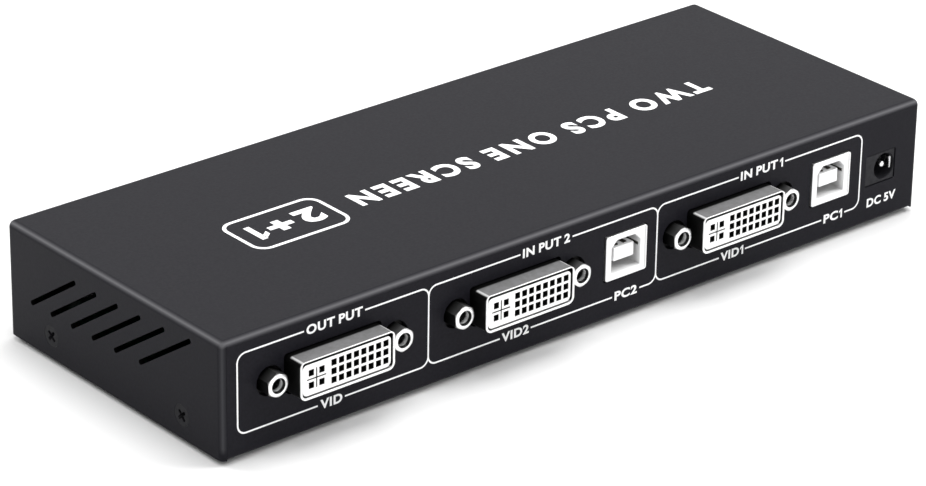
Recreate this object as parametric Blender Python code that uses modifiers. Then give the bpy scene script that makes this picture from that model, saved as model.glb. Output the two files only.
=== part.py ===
"""KVM switch: two computers share one screen, keyboard and mouse.

A folded steel box stands on four rubber feet. The origin is at the bottom centre of the feet, +Z is up,
the rear panel with the video sockets faces +Y and the front panel with the button faces -Y.
All sizes are in metres. "across" is the distance along the rear panel from the +X end of the box, and
"up" is the height above the underside of the box.
"""
import math

import bmesh
import bpy
from mathutils import Matrix, Vector

# Box
LENGTH = 0.201
WIDTH = 0.076
HEIGHT = 0.027
SHEET = 0.0012
EDGE_RADIUS = 0.0010
SEAM = 0.00015
GAP = 0.0003
FOOT_RADIUS = 0.005
FOOT_HEIGHT = 0.0009

# Places worked out from the box
BASE_Z = FOOT_HEIGHT + GAP
HALF_LENGTH = LENGTH / 2
HALF_WIDTH = WIDTH / 2
TOP_Z = BASE_Z + HEIGHT
PANEL_HALF = HALF_LENGTH - SHEET - SEAM
INNER_Y = HALF_WIDTH - SHEET
OPEN_ALL = 0.02

# Circuit board and what holds it
BOARD_UP = 0.0074
BOARD_THICK = 0.0016
BOARD_HALF_LENGTH = 0.0952
BOARD_FRONT_Y = -0.0356
BOARD_REAR_Y = 0.0354
BOARD_TOP = BASE_Z + BOARD_UP + BOARD_THICK
BOARD_SCREW_PLACES = ((0.089, 0.019), (-0.089, 0.019), (0.089, -0.029), (-0.089, -0.029))
SCREW_RADIUS = 0.00125
SCREW_HOLE_RADIUS = 0.0016
STANDOFF_FLATS = 0.005

# Vents and cover screws in the two ends; "back" is the distance from the rear panel's face
VENT_COUNT = 6
VENT_PITCH = 0.00772
VENT_FIRST_BACK = 0.0686
VENT_LEAN = 0.01716
VENT_LOW_UP = 0.0103
VENT_HIGH_UP = 0.02214
VENT_WIDTH = 0.00115
COVER_SCREW_BACKS = (0.06024, 0.01383)
COVER_SCREW_UP = 0.0053
COVER_SCREW_HEAD = 0.0025
COVER_SCREW_LENGTH = 0.006
TAB_HALF_WIDTH = 0.005
TAB_UP = 0.0092

# Video sockets
DVI_SOCKETS = (("output", 0.0287), ("input_2", 0.0783), ("input_1", 0.1409))
DVI_UP = 0.01495
DVI_SHELL_LENGTH = 0.0248
DVI_SHELL_HEIGHT = 0.0088
DVI_SHELL_WALL = 0.0005
DVI_SHELL_PROUD = 0.005
DVI_LOW_CORNER = 0.0016
DVI_TOP_CORNER = 0.0007
DVI_FLANGE = (0.0392, 0.0008, 0.0125)
DVI_BLOCK = (0.0368, 0.0082, 0.0106)
DVI_CUT_GAP = 0.0004
DVI_FACE_INSET = 0.0006
JACKSCREW_PITCH = 0.033
JACKSCREW_FLATS = 0.005
JACKSCREW_PROUD = 0.003
JACKSCREW_THREAD = 0.0013
JACKSCREW_PANEL_HOLE = 0.0034
JACKSCREW_HOLE_DEPTH = 0.0032
JACKSCREW_BORE_LENGTH = 0.0145
PIN_PITCH = 0.001905
PIN_HOLE = 0.001
PIN_COLUMNS = 8
PIN_ROWS = 3
FIRST_PIN_OFFSET = 0.0034
CROSS_OFFSET = 0.00784
CROSS_PIN_OFFSET = 0.0013
CROSS_BLADE = (0.0046, 0.0004)
PIN_DEPTH = 0.0018

# Computer sockets on the rear
USB_B_SOCKETS = (("2", 0.1099), ("1", 0.1725))
USB_B_UP = 0.01485
USB_B_SIZE = (0.012, 0.016, 0.0107)
USB_B_PROUD = 0.0004
USB_B_WALL = 0.0004
USB_B_CAVITY = (0.00845, 0.00778)
USB_B_CHAMFER = 0.0016
USB_B_DEPTH = 0.009
USB_B_TONGUE = (0.0056, 0.0032)
USB_B_TONGUE_INSET = 0.0012

# Power jack
DC_ACROSS = 0.18885
DC_HOLE_ACROSS = 0.1899
DC_UP = 0.0131
DC_SIZE = (0.0091, 0.0135, 0.0073)
DC_HOLE_RADIUS = 0.00285
DC_HOLE_DEPTH = 0.0095
DC_PIN_RADIUS = 0.0008
DC_PIN_INSET = 0.001
DC_FACE_INSET = 0.0002

# Front panel
USB_A_PLACES = (0.074, 0.054, 0.034, 0.014)
USB_A_SIZE = (0.0131, 0.014, 0.0057)
USB_A_WALL = 0.00035
USB_A_PROUD = 0.0003
USB_A_TONGUE = (0.011, 0.0095, 0.0019)
BUTTON_X = -0.058
FRONT_UP = 0.0132
BUTTON_RADIUS = 0.0035
BUTTON_PROUD = 0.0032
BUTTON_TRAVEL = 0.0012
SWITCH_SIZE = (0.008, 0.0095, 0.0076)
SWITCH_BORE = 0.0026
LAMPS = (("power", -0.084), ("computer_1", -0.042), ("computer_2", -0.030))
LAMP_RADIUS = 0.0015

ROUND_SIDES = 24
SMALL_SIDES = 16
ALONG_Y = Matrix.Rotation(-math.pi / 2, 4, "X")
ALONG_X = Matrix.Rotation(math.pi / 2, 4, "Y")
UPRIGHT = Matrix.Identity(4)


def clear_scene():
    for item in list(bpy.data.objects):
        bpy.data.objects.remove(item, do_unlink=True)


def new_collection(name):
    collection = bpy.data.collections.new(name)
    bpy.context.scene.collection.children.link(collection)
    return collection


def finish(name, colour, roughness, metallic=0.0):
    made = bpy.data.materials.new(name)
    made.use_nodes = True
    shader = made.node_tree.nodes["Principled BSDF"]
    shader.inputs["Base Color"].default_value = (*colour, 1.0)
    shader.inputs["Roughness"].default_value = roughness
    shader.inputs["Metallic"].default_value = metallic
    return made


clear_scene()
parts = new_collection("kvm_switch")
cutters = new_collection("cutters")

BLACK_COAT = finish("black_coat", (0.035, 0.035, 0.038), 0.6)
BOARD_GREEN = finish("board_green", (0.02, 0.16, 0.06), 0.45)
PLATED_STEEL = finish("plated_steel", (0.78, 0.78, 0.78), 0.28, 1.0)
SCREW_STEEL = finish("screw_steel", (0.10, 0.10, 0.11), 0.4, 1.0)
WHITE_PLASTIC = finish("white_plastic", (0.85, 0.85, 0.84), 0.45)
BLACK_PLASTIC = finish("black_plastic", (0.02, 0.02, 0.022), 0.4)
CHIP_PLASTIC = finish("chip_plastic", (0.015, 0.015, 0.017), 0.55)
RUBBER = finish("rubber", (0.03, 0.03, 0.03), 0.85)
BRASS = finish("brass", (0.72, 0.55, 0.25), 0.35, 1.0)
LAMP_RED = finish("lamp_red", (0.6, 0.05, 0.04), 0.2)
LAMP_GREEN = finish("lamp_green", (0.08, 0.5, 0.12), 0.2)
CAN_ALUMINIUM = finish("can_aluminium", (0.7, 0.7, 0.72), 0.35, 1.0)


def x_at(across):
    return HALF_LENGTH - across


def z_at(up):
    return BASE_Z + up


def add_object(name, mesh, material=None):
    """A visible part when it has a material, otherwise a cutter."""
    item = bpy.data.objects.new(name, mesh)
    if material is None:
        cutters.objects.link(item)
        item.hide_render = True
        item.display_type = "WIRE"
    else:
        parts.objects.link(item)
        mesh.materials.append(material)
    return item


def mesh_from(name, shape):
    mesh = bpy.data.meshes.new(name)
    bmesh.ops.recalc_face_normals(shape, faces=shape.faces)
    shape.to_mesh(mesh)
    shape.free()
    return mesh


def box(name, centre, size, material=None):
    shape = bmesh.new()
    bmesh.ops.create_cube(shape, size=1.0)
    bmesh.ops.scale(shape, vec=Vector(size), verts=shape.verts)
    item = add_object(name, mesh_from(name, shape), material)
    item.location = centre
    return item


def span_box(name, low, high, material=None):
    """A box between its lowest and highest corners."""
    low, high = Vector(low), Vector(high)
    return box(name, (low + high) / 2, high - low, material)


def rod(name, centre, radius, length, material=None, turn=ALONG_Y, sides=ROUND_SIDES, tip_radius=None):
    """A cylinder, prism or cone whose length runs along the turned Z axis."""
    shape = bmesh.new()
    bmesh.ops.create_cone(
        shape, cap_ends=True, segments=sides, radius1=radius, depth=length,
        radius2=radius if tip_radius is None else tip_radius,
    )
    bmesh.ops.transform(shape, matrix=turn, verts=shape.verts)
    item = add_object(name, mesh_from(name, shape), material)
    if sides >= SMALL_SIDES:
        smooth(item)
    item.location = centre
    return item


def smooth(item):
    item.data.shade_smooth()
    item.data.set_sharp_from_angle(angle=math.radians(35))


def arc(centre, radius, start, end, steps):
    """Points on an arc, from one angle to another in degrees."""
    angles = [math.radians(start + (end - start) * i / steps) for i in range(steps + 1)]
    return [(centre[0] + radius * math.cos(a), centre[1] + radius * math.sin(a)) for a in angles]


def rounded_outline(width, height, top_radius, low_radius, steps=3):
    """A rectangle about the origin, its two top and two low corners rounded."""
    x, y = width / 2, height / 2
    corners = ((x, y, top_radius, 0), (-x, y, top_radius, 90), (-x, -y, low_radius, 180), (x, -y, low_radius, 270))
    points = []
    for cx, cy, radius, start in corners:
        centre = (cx - math.copysign(radius, cx), cy - math.copysign(radius, cy))
        points += arc(centre, radius, start, start + 90, steps)
    return points


def prism(name, outline, depth, centre, material=None, turn=(math.pi / 2, 0, 0)):
    """A flat outline given half its depth to each side, as a mesh with welded caps."""
    curve = bpy.data.curves.new(name, "CURVE")
    curve.dimensions = "2D"
    curve.fill_mode = "BOTH"
    curve.extrude = depth / 2
    line = curve.splines.new("POLY")
    line.points.add(len(outline) - 1)
    for point, (x, y) in zip(line.points, outline):
        point.co = (x, y, 0.0, 1.0)
    line.use_cyclic_u = True
    drawn = bpy.data.objects.new(name + "_outline", curve)
    cutters.objects.link(drawn)
    drawn.location = centre
    drawn.rotation_euler = turn
    bpy.context.view_layer.update()
    ready = drawn.evaluated_get(bpy.context.evaluated_depsgraph_get())
    mesh = bpy.data.meshes.new_from_object(ready)
    mesh.name = name
    shape = bmesh.new()
    shape.from_mesh(mesh)
    bmesh.ops.remove_doubles(shape, verts=shape.verts, dist=0.00001)
    bmesh.ops.recalc_face_normals(shape, faces=shape.faces)
    shape.to_mesh(mesh)
    shape.free()
    mesh.materials.clear()
    item = add_object(name, mesh, material)
    item.matrix_world = drawn.matrix_world.copy()
    bpy.data.objects.remove(drawn)
    return item


def turned(name, profile, centre, material, turn, sides=ROUND_SIDES):
    """A profile of radius and height points, outer side from top to bottom, spun about its axis."""
    mesh = bpy.data.meshes.new(name)
    points = [(radius, 0.0, height) for radius, height in profile]
    edges = [(i, i + 1) for i in range(len(points) - 1)]
    mesh.from_pydata(points, edges, [])
    item = add_object(name, mesh, material)
    screw = item.modifiers.new("turn", "SCREW")
    screw.steps = sides
    screw.render_steps = sides
    screw.use_merge_vertices = True
    screw.merge_threshold = 0.00001
    screw.use_smooth_shade = True
    item.matrix_world = Matrix.Translation(centre) @ turn
    return item


def boolean(item, other, operation):
    step = item.modifiers.new(operation.lower(), "BOOLEAN")
    step.operation = operation
    step.object = other
    step.solver = "EXACT"


def cut(item, *tools):
    for tool in tools:
        boolean(item, tool, "DIFFERENCE")


def fuse(item, *others):
    for other in others:
        boolean(item, other, "UNION")


def round_edges(item, width, segments=2, angle=40):
    bevel = item.modifiers.new("rounding", "BEVEL")
    bevel.width = width
    bevel.segments = segments
    bevel.limit_method = "ANGLE"
    bevel.angle_limit = math.radians(angle)


# Top cover: one sheet folded over the top and down both ends ------------------------------------------------

def vent_outline():
    """A slot with round ends about its middle, leaning back towards the rear panel at the top."""
    rise = VENT_HIGH_UP - VENT_LOW_UP
    slope = math.degrees(math.atan2(rise, VENT_LEAN))
    half = math.hypot(rise, VENT_LEAN) / 2
    end = Vector((half * math.cos(math.radians(slope)), half * math.sin(math.radians(slope))))
    radius = VENT_WIDTH / 2
    return arc(end, radius, slope - 90, slope + 90, 5) + arc(-end, radius, slope + 90, slope + 270, 5)


def cover_screw_places():
    for end, name in ((1, "near"), (-1, "far")):
        for back, place in zip(COVER_SCREW_BACKS, ("front", "rear")):
            yield end, HALF_WIDTH - back, f"{name}_{place}"


def make_top_cover():
    size = (LENGTH, WIDTH, HEIGHT)
    cover = box("top_cover", (0, 0, BASE_Z + HEIGHT / 2), size, BLACK_COAT)
    round_edges(cover, EDGE_RADIUS, 3)
    hollow = span_box(
        "cover_hollow",
        (-HALF_LENGTH + SHEET, -HALF_WIDTH - OPEN_ALL, BASE_Z - OPEN_ALL),
        (HALF_LENGTH - SHEET, HALF_WIDTH + OPEN_ALL, TOP_Z - SHEET),
    )
    cut(cover, hollow)
    middle_up = (VENT_LOW_UP + VENT_HIGH_UP) / 2
    for i in range(VENT_COUNT):
        middle_back = VENT_FIRST_BACK - i * VENT_PITCH - VENT_LEAN / 2
        place = (0, HALF_WIDTH - middle_back, z_at(middle_up))
        turn = (math.pi / 2, 0, math.pi / 2)
        cut(cover, prism(f"vent_{i + 1}", vent_outline(), LENGTH + OPEN_ALL, place, None, turn))
    narrow, wide = COVER_SCREW_HEAD - SHEET, COVER_SCREW_HEAD + 2 * GAP
    for end, y, name in cover_screw_places():
        countersink = rod(
            f"countersink_{name}", (end * (HALF_LENGTH - SHEET / 2), y, z_at(COVER_SCREW_UP)),
            narrow, SHEET + 2 * GAP, None, ALONG_X, ROUND_SIDES, wide,
        )
        countersink.scale.x = end
        cut(cover, countersink)
    return cover


def make_cover_screws():
    """Countersunk screws, head flush with the end of the box, through the cover into the chassis tab."""
    head_depth = SHEET - 0.0001
    recess_size = (0.0028, 0.0006, 0.0014)
    for end, y, name in cover_screw_places():
        profile = [
            (0.0, 0.0), (COVER_SCREW_HEAD, 0.0), (COVER_SCREW_HEAD - head_depth, -head_depth),
            (SCREW_RADIUS, -head_depth), (SCREW_RADIUS, -COVER_SCREW_LENGTH), (0.0, -COVER_SCREW_LENGTH),
        ]
        facing = Matrix.Rotation(end * math.pi / 2, 4, "Y")
        place = (end * HALF_LENGTH, y, z_at(COVER_SCREW_UP))
        screw = turned(f"cover_screw_{name}", profile, place, SCREW_STEEL, facing)
        for turn_z in (0, math.pi / 2):
            blade = box(f"recess_{name}_{turn_z:.0f}", (0, 0, 0), recess_size)
            blade.matrix_world = Matrix.Translation(place) @ facing @ Matrix.Rotation(turn_z, 4, "Z")
            cut(screw, blade)


# Base chassis: one sheet folded into floor, front panel and rear panel --------------------------------------

def make_base_chassis():
    low, high = BASE_Z, TOP_Z - SHEET - SEAM
    size = (2 * PANEL_HALF, WIDTH, high - low)
    chassis = box("base_chassis", (0, 0, (low + high) / 2), size, BLACK_COAT)
    shape = bmesh.new()
    shape.from_mesh(chassis.data)
    folds = [e for e in shape.edges if all(v.co.z < 0 for v in e.verts) and e.verts[0].co.y == e.verts[1].co.y]
    bmesh.ops.bevel(shape, geom=folds, offset=EDGE_RADIUS, segments=3, profile=0.5, affect="EDGES")
    shape.to_mesh(chassis.data)
    shape.free()
    hollow = span_box(
        "chassis_hollow",
        (-HALF_LENGTH - OPEN_ALL, -INNER_Y, low + SHEET), (HALF_LENGTH + OPEN_ALL, INNER_Y, high + OPEN_ALL),
    )
    cut(chassis, hollow)
    for end, y, name in cover_screw_places():
        outer, inner = end * PANEL_HALF, end * (PANEL_HALF - SHEET)
        tab = span_box(
            f"tab_{name}",
            (min(outer, inner), y - TAB_HALF_WIDTH, low + SHEET / 2),
            (max(outer, inner), y + TAB_HALF_WIDTH, z_at(TAB_UP)),
        )
        fuse(chassis, tab)
        hole = rod(f"tab_hole_{name}", ((outer + inner) / 2, y, z_at(COVER_SCREW_UP)), SCREW_HOLE_RADIUS,
                   4 * SHEET, None, ALONG_X, SMALL_SIDES)
        cut(chassis, hole)
    cut_rear_panel(chassis)
    cut_front_panel(chassis)
    return chassis


def cut_rear_panel(chassis):
    through = 4 * SHEET
    for name, across in DVI_SOCKETS:
        place = (x_at(across), HALF_WIDTH, z_at(DVI_UP))
        outline = rounded_outline(
            DVI_SHELL_LENGTH + 2 * DVI_CUT_GAP, DVI_SHELL_HEIGHT + 2 * DVI_CUT_GAP, DVI_TOP_CORNER, DVI_LOW_CORNER,
        )
        cut(chassis, prism(f"panel_dvi_{name}", outline, through, place))
        for side in (-1, 1):
            hole_place = (place[0] + side * JACKSCREW_PITCH / 2, place[1], place[2])
            cut(chassis, rod(f"panel_jackscrew_{name}_{side}", hole_place, JACKSCREW_PANEL_HOLE, through))
    for name, across in USB_B_SOCKETS:
        size = (USB_B_SIZE[0] + 2 * GAP, through, USB_B_SIZE[2] + 2 * GAP)
        cut(chassis, box(f"panel_usb_b_{name}", (x_at(across), HALF_WIDTH, z_at(USB_B_UP)), size))
    size = (DC_SIZE[0] + 2 * GAP, through, DC_SIZE[2] + 2 * GAP)
    cut(chassis, box("panel_dc", (x_at(DC_ACROSS), HALF_WIDTH, z_at(DC_UP)), size))


def cut_front_panel(chassis):
    through = 4 * SHEET
    for i, x in enumerate(USB_A_PLACES):
        size = (USB_A_SIZE[0] + 2 * GAP, through, USB_A_SIZE[2] + 2 * GAP)
        cut(chassis, box(f"panel_usb_a_{i + 1}", (x, -HALF_WIDTH, BOARD_TOP + GAP + USB_A_SIZE[2] / 2), size))
    cut(chassis, rod("panel_button", (BUTTON_X, -HALF_WIDTH, z_at(FRONT_UP)), BUTTON_RADIUS + GAP, through))
    for name, x in LAMPS:
        hole = rod(f"panel_lamp_{name}", (x, -HALF_WIDTH, z_at(FRONT_UP)), LAMP_RADIUS + GAP, through, None,
                   ALONG_Y, SMALL_SIDES)
        cut(chassis, hole)


# Feet, standoffs and circuit board --------------------------------------------------------------------------

def make_feet():
    inset = 0.011
    for side, side_name in ((1, "near"), (-1, "far")):
        for depth, depth_name in ((1, "rear"), (-1, "front")):
            place = (side * (HALF_LENGTH - inset), depth * (HALF_WIDTH - inset), FOOT_HEIGHT / 2)
            name = f"foot_{side_name}_{depth_name}"
            rod(name, place, FOOT_RADIUS - GAP, FOOT_HEIGHT, RUBBER, UPRIGHT, ROUND_SIDES, FOOT_RADIUS)


def make_board():
    low = (-BOARD_HALF_LENGTH, BOARD_FRONT_Y, BASE_Z + BOARD_UP)
    high = (BOARD_HALF_LENGTH, BOARD_REAR_Y, BOARD_TOP)
    board = span_box("circuit_board", low, high, BOARD_GREEN)
    standoff_low, standoff_high = BASE_Z + SHEET + GAP, BASE_Z + BOARD_UP - GAP
    head_radius, head_height, shank, through = 0.0027, 0.0017, 0.006, 0.01
    for i, (x, y) in enumerate(BOARD_SCREW_PLACES):
        hole = rod(f"board_hole_{i + 1}", (x, y, BOARD_TOP), SCREW_HOLE_RADIUS, through, None, UPRIGHT, SMALL_SIDES)
        cut(board, hole)
        middle, tall = (standoff_low + standoff_high) / 2, standoff_high - standoff_low
        standoff = rod(f"board_standoff_{i + 1}", (x, y, middle), STANDOFF_FLATS / math.sqrt(3), tall, BRASS,
                       UPRIGHT, 6)
        bore = rod(f"standoff_bore_{i + 1}", (x, y, middle), SCREW_HOLE_RADIUS, through, None, UPRIGHT, SMALL_SIDES)
        cut(standoff, bore)
        profile = [
            (0.0, head_height), (head_radius * 0.7, head_height), (head_radius, head_height * 0.6),
            (head_radius, 0.0), (SCREW_RADIUS, 0.0), (SCREW_RADIUS, -shank), (0.0, -shank),
        ]
        turned(f"board_screw_{i + 1}", profile, (x, y, BOARD_TOP + GAP), PLATED_STEEL, UPRIGHT, SMALL_SIDES)


def make_board_parts():
    """Chips, crystal and the capacitors that smooth the supply."""
    chips = (
        ("video_switch_chip", (0.030, 0.010), (0.014, 0.014, 0.0014)),
        ("usb_hub_chip", (0.044, -0.012), (0.007, 0.007, 0.0014)),
        ("controller_chip", (-0.040, -0.008), (0.005, 0.008, 0.0015)),
    )
    for name, (x, y), size in chips:
        chip = box(name, (x, y, BOARD_TOP + GAP + size[2] / 2), size, CHIP_PLASTIC)
        round_edges(chip, 0.0002, 1)
    crystal_height = 0.0035
    outline = arc((0.0035, 0), 0.0022, -90, 90, 6) + arc((-0.0035, 0), 0.0022, 90, 270, 6)
    place = (0.060, -0.010, BOARD_TOP + GAP + crystal_height / 2)
    prism("crystal", outline, crystal_height, place, CAN_ALUMINIUM, (0, 0, 0))
    radius, tall = 0.00315, 0.0077
    for i, x in enumerate((-0.080, -0.071)):
        profile = [
            (0.0, tall), (radius - 0.0003, tall), (radius, tall - 0.0003), (radius, 0.0018),
            (radius - 0.0003, 0.0014), (radius, 0.0010), (radius, 0.0), (0.0, 0.0),
        ]
        turned(f"capacitor_{i + 1}", profile, (x, 0.014, BOARD_TOP + GAP), CAN_ALUMINIUM, UPRIGHT, SMALL_SIDES)


# Video sockets ----------------------------------------------------------------------------------------------

def shell_outline(inset):
    """The shroud's outline, wide side up, shrunk all round by an inset."""
    low = max(DVI_LOW_CORNER - inset, 0.0003)
    top = max(DVI_TOP_CORNER - inset, 0.0002)
    return rounded_outline(DVI_SHELL_LENGTH - 2 * inset, DVI_SHELL_HEIGHT - 2 * inset, top, low)


def pin_places():
    """The digital pins in rows, and the four pins about the cross blade, from the socket's middle."""
    for column in range(PIN_COLUMNS):
        for row in range(PIN_ROWS):
            yield FIRST_PIN_OFFSET - column * PIN_PITCH, (1 - row) * PIN_PITCH
    for x in (-1, 1):
        for z in (-1, 1):
            yield CROSS_OFFSET + x * CROSS_PIN_OFFSET, z * CROSS_PIN_OFFSET


def pin_cutter(name, face):
    """All the square pin holes as one cutter about the insulator's face."""
    shape = bmesh.new()
    for x, z in pin_places():
        grown = bmesh.ops.create_cube(shape, size=1.0)["verts"]
        bmesh.ops.scale(shape, vec=(PIN_HOLE, 2 * PIN_DEPTH, PIN_HOLE), verts=grown)
        bmesh.ops.translate(shape, vec=(x, 0, z), verts=grown)
    item = add_object(name, mesh_from(name, shape))
    item.location = face
    return item


def make_dvi_socket(name, across):
    x, z = x_at(across), z_at(DVI_UP)
    flange_y = INNER_Y - GAP - DVI_FLANGE[1]
    front_y = HALF_WIDTH + DVI_SHELL_PROUD
    length = front_y - flange_y
    middle_y = (front_y + flange_y) / 2

    shell = prism(f"dvi_{name}_shell", shell_outline(0), length, (x, middle_y, z), PLATED_STEEL)
    flange = box(f"dvi_{name}_flange", (x, flange_y + DVI_FLANGE[1] / 2, z), DVI_FLANGE)
    fuse(shell, flange)
    cut(shell, prism(f"dvi_{name}_mouth", shell_outline(DVI_SHELL_WALL), length + OPEN_ALL, (x, middle_y, z)))

    face_y = front_y - DVI_FACE_INSET
    block_y = flange_y - GAP - DVI_BLOCK[1]
    nose_y = block_y + GAP
    insulator = prism(
        f"dvi_{name}_insulator", shell_outline(DVI_SHELL_WALL + GAP), face_y - nose_y,
        (x, (face_y + nose_y) / 2, z), WHITE_PLASTIC,
    )
    block_low = BOARD_TOP + GAP
    block = span_box(
        f"dvi_{name}_block", (x - DVI_BLOCK[0] / 2, block_y, block_low),
        (x + DVI_BLOCK[0] / 2, block_y + DVI_BLOCK[1], block_low + DVI_BLOCK[2]),
    )
    fuse(insulator, block)
    cut(insulator, pin_cutter(f"dvi_{name}_pins", (x, face_y, z)))
    for width, height in (CROSS_BLADE, CROSS_BLADE[::-1]):
        blade = box(f"dvi_{name}_blade_{width:.4f}", (x + CROSS_OFFSET, face_y, z), (width, 2 * PIN_DEPTH, height))
        cut(insulator, blade)

    for side, side_name in ((1, "near"), (-1, "far")):
        screw_x = x + side * JACKSCREW_PITCH / 2
        for item in (shell, insulator):
            bore = rod(f"{item.name}_bore_{side_name}", (screw_x, flange_y, z), SCREW_HOLE_RADIUS,
                       JACKSCREW_BORE_LENGTH, None, ALONG_Y, SMALL_SIDES)
            cut(item, bore)
        make_jackscrew(f"dvi_{name}_jackscrew_{side_name}", screw_x, z, flange_y + DVI_FLANGE[1] + GAP)


def make_jackscrew(name, x, z, seat_y):
    """Hexagonal head that the plug's screw threads into, with a thinner thread behind it."""
    front_y = HALF_WIDTH + JACKSCREW_PROUD
    thread_length, overlap = 0.0055, 0.001
    turn = ALONG_Y @ Matrix.Rotation(math.radians(30), 4, "Z")
    head = rod(name, (x, (front_y + seat_y) / 2, z), JACKSCREW_FLATS / math.sqrt(3), front_y - seat_y,
               PLATED_STEEL, turn, 6)
    thread_middle = seat_y + (overlap - thread_length) / 2
    thread = rod(f"{name}_thread", (x, thread_middle, z), SCREW_RADIUS, thread_length + overlap, None, ALONG_Y,
                 SMALL_SIDES)
    fuse(head, thread)
    cut(head, rod(f"{name}_hole", (x, front_y, z), JACKSCREW_THREAD, 2 * JACKSCREW_HOLE_DEPTH, None, ALONG_Y,
                  SMALL_SIDES))
    round_edges(head, 0.0002, 1, 50)


# Computer sockets, power jack -------------------------------------------------------------------------------

def make_usb_b_socket(name, across):
    width, depth, height = USB_B_SIZE
    x, z = x_at(across), z_at(USB_B_UP)
    face_y = HALF_WIDTH + USB_B_PROUD
    shell = box(f"usb_b_{name}_shell", (x, face_y - depth / 2, z), USB_B_SIZE, PLATED_STEEL)
    mouth = (width - 2 * USB_B_WALL, 2 * (depth - USB_B_WALL), height - 2 * USB_B_WALL)
    cut(shell, box(f"usb_b_{name}_mouth", (x, face_y, z), mouth))

    back_y = face_y - depth + USB_B_WALL + GAP
    slack = 2 * (USB_B_WALL + GAP)
    size = (width - slack, face_y - back_y - 0.0001, height - slack)
    insulator = box(f"usb_b_{name}_insulator", (x, back_y + size[1] / 2, z), size, WHITE_PLASTIC)
    half, low, high = USB_B_CAVITY[0] / 2, -USB_B_CAVITY[1] / 2, USB_B_CAVITY[1] / 2
    outline = [
        (-half, low), (half, low), (half, high - USB_B_CHAMFER), (half - USB_B_CHAMFER, high),
        (USB_B_CHAMFER - half, high), (-half, high - USB_B_CHAMFER),
    ]
    cut(insulator, prism(f"usb_b_{name}_cavity", outline, 2 * USB_B_DEPTH, (x, face_y, z)))
    root_y = face_y - USB_B_DEPTH - 0.001
    tongue = span_box(
        f"usb_b_{name}_tongue",
        (x - USB_B_TONGUE[0] / 2, root_y, z - USB_B_TONGUE[1] / 2),
        (x + USB_B_TONGUE[0] / 2, face_y - USB_B_TONGUE_INSET, z + USB_B_TONGUE[1] / 2),
    )
    fuse(insulator, tongue)


def make_dc_jack():
    x, z = x_at(DC_ACROSS), z_at(DC_UP)
    hole_x = x_at(DC_HOLE_ACROSS)
    face_y = HALF_WIDTH - DC_FACE_INSET
    body = box("dc_jack_body", (x, face_y - DC_SIZE[1] / 2, z), DC_SIZE, BLACK_PLASTIC)
    cut(body, rod("dc_jack_bore", (hole_x, face_y, z), DC_HOLE_RADIUS, 2 * DC_HOLE_DEPTH))
    pin_length = DC_HOLE_DEPTH - GAP - DC_PIN_INSET
    profile = [
        (0.0, pin_length), (DC_PIN_RADIUS * 0.6, pin_length - 0.0001), (DC_PIN_RADIUS, pin_length - 0.0006),
        (DC_PIN_RADIUS, 0.0), (0.0, 0.0),
    ]
    facing = Matrix.Rotation(-math.pi / 2, 4, "X")
    turned("dc_jack_pin", profile, (hole_x, face_y - DC_HOLE_DEPTH + GAP, z), BRASS, facing, SMALL_SIDES)
    leaf_thick, leaf_height, leaf_inset = 0.0003, 0.0028, 0.0012
    leaf_x = hole_x - DC_HOLE_RADIUS + 0.0009
    leaf = span_box(
        "dc_jack_spring",
        (leaf_x - leaf_thick / 2, face_y - DC_HOLE_DEPTH + GAP, z - leaf_height / 2),
        (leaf_x + leaf_thick / 2, face_y - leaf_inset, z + leaf_height / 2), PLATED_STEEL,
    )
    round_edges(leaf, 0.0001, 1)


# Front panel ------------------------------------------------------------------------------------------------

def make_usb_a_socket(name, x):
    width, depth, height = USB_A_SIZE
    z = BOARD_TOP + GAP + height / 2
    face_y = -HALF_WIDTH - USB_A_PROUD
    shell = box(f"usb_a_{name}_shell", (x, face_y + depth / 2, z), USB_A_SIZE, PLATED_STEEL)
    mouth = (width - 2 * USB_A_WALL, 2 * (depth - USB_A_WALL), height - 2 * USB_A_WALL)
    cut(shell, box(f"usb_a_{name}_mouth", (x, face_y, z), mouth))
    back_y = face_y + depth - USB_A_WALL - GAP
    tongue_x, tongue_y, tongue_z = USB_A_TONGUE
    tongue_low = z + 0.0002
    root_half, root_deep, hair = width / 2 - USB_A_WALL - GAP, 0.002, 0.00001
    tongue = span_box(
        f"usb_a_{name}_tongue",
        (x - tongue_x / 2, back_y - root_deep - tongue_y, tongue_low),
        (x + tongue_x / 2, back_y, tongue_low + tongue_z), WHITE_PLASTIC,
    )
    root_low = z - height / 2 + USB_A_WALL + GAP
    root = span_box(
        f"usb_a_{name}_root",
        (x - root_half, back_y - root_deep, root_low),
        (x + root_half, back_y + hair, z + height / 2 - USB_A_WALL - GAP),
    )
    fuse(tongue, root)


def make_lamp(name, x):
    """A round-nosed lamp with its flange behind the front panel."""
    nose, body = 0.0012, 0.0040
    dome_steps = 4
    angles = [math.pi / 2 * i / dome_steps for i in range(1, dome_steps + 1)]
    profile = [(0.0, nose)] + [(LAMP_RADIUS * math.sin(a), nose * math.cos(a)) for a in angles]
    profile += [
        (LAMP_RADIUS, -body), (LAMP_RADIUS + GAP, -body), (LAMP_RADIUS + GAP, -body - 0.001), (0.0, -body - 0.001),
    ]
    facing = Matrix.Rotation(math.pi / 2, 4, "X")
    colour = LAMP_RED if name == "power" else LAMP_GREEN
    turned(f"lamp_{name}", profile, (x, -HALF_WIDTH + 0.0002, z_at(FRONT_UP)), colour, facing, SMALL_SIDES)


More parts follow.
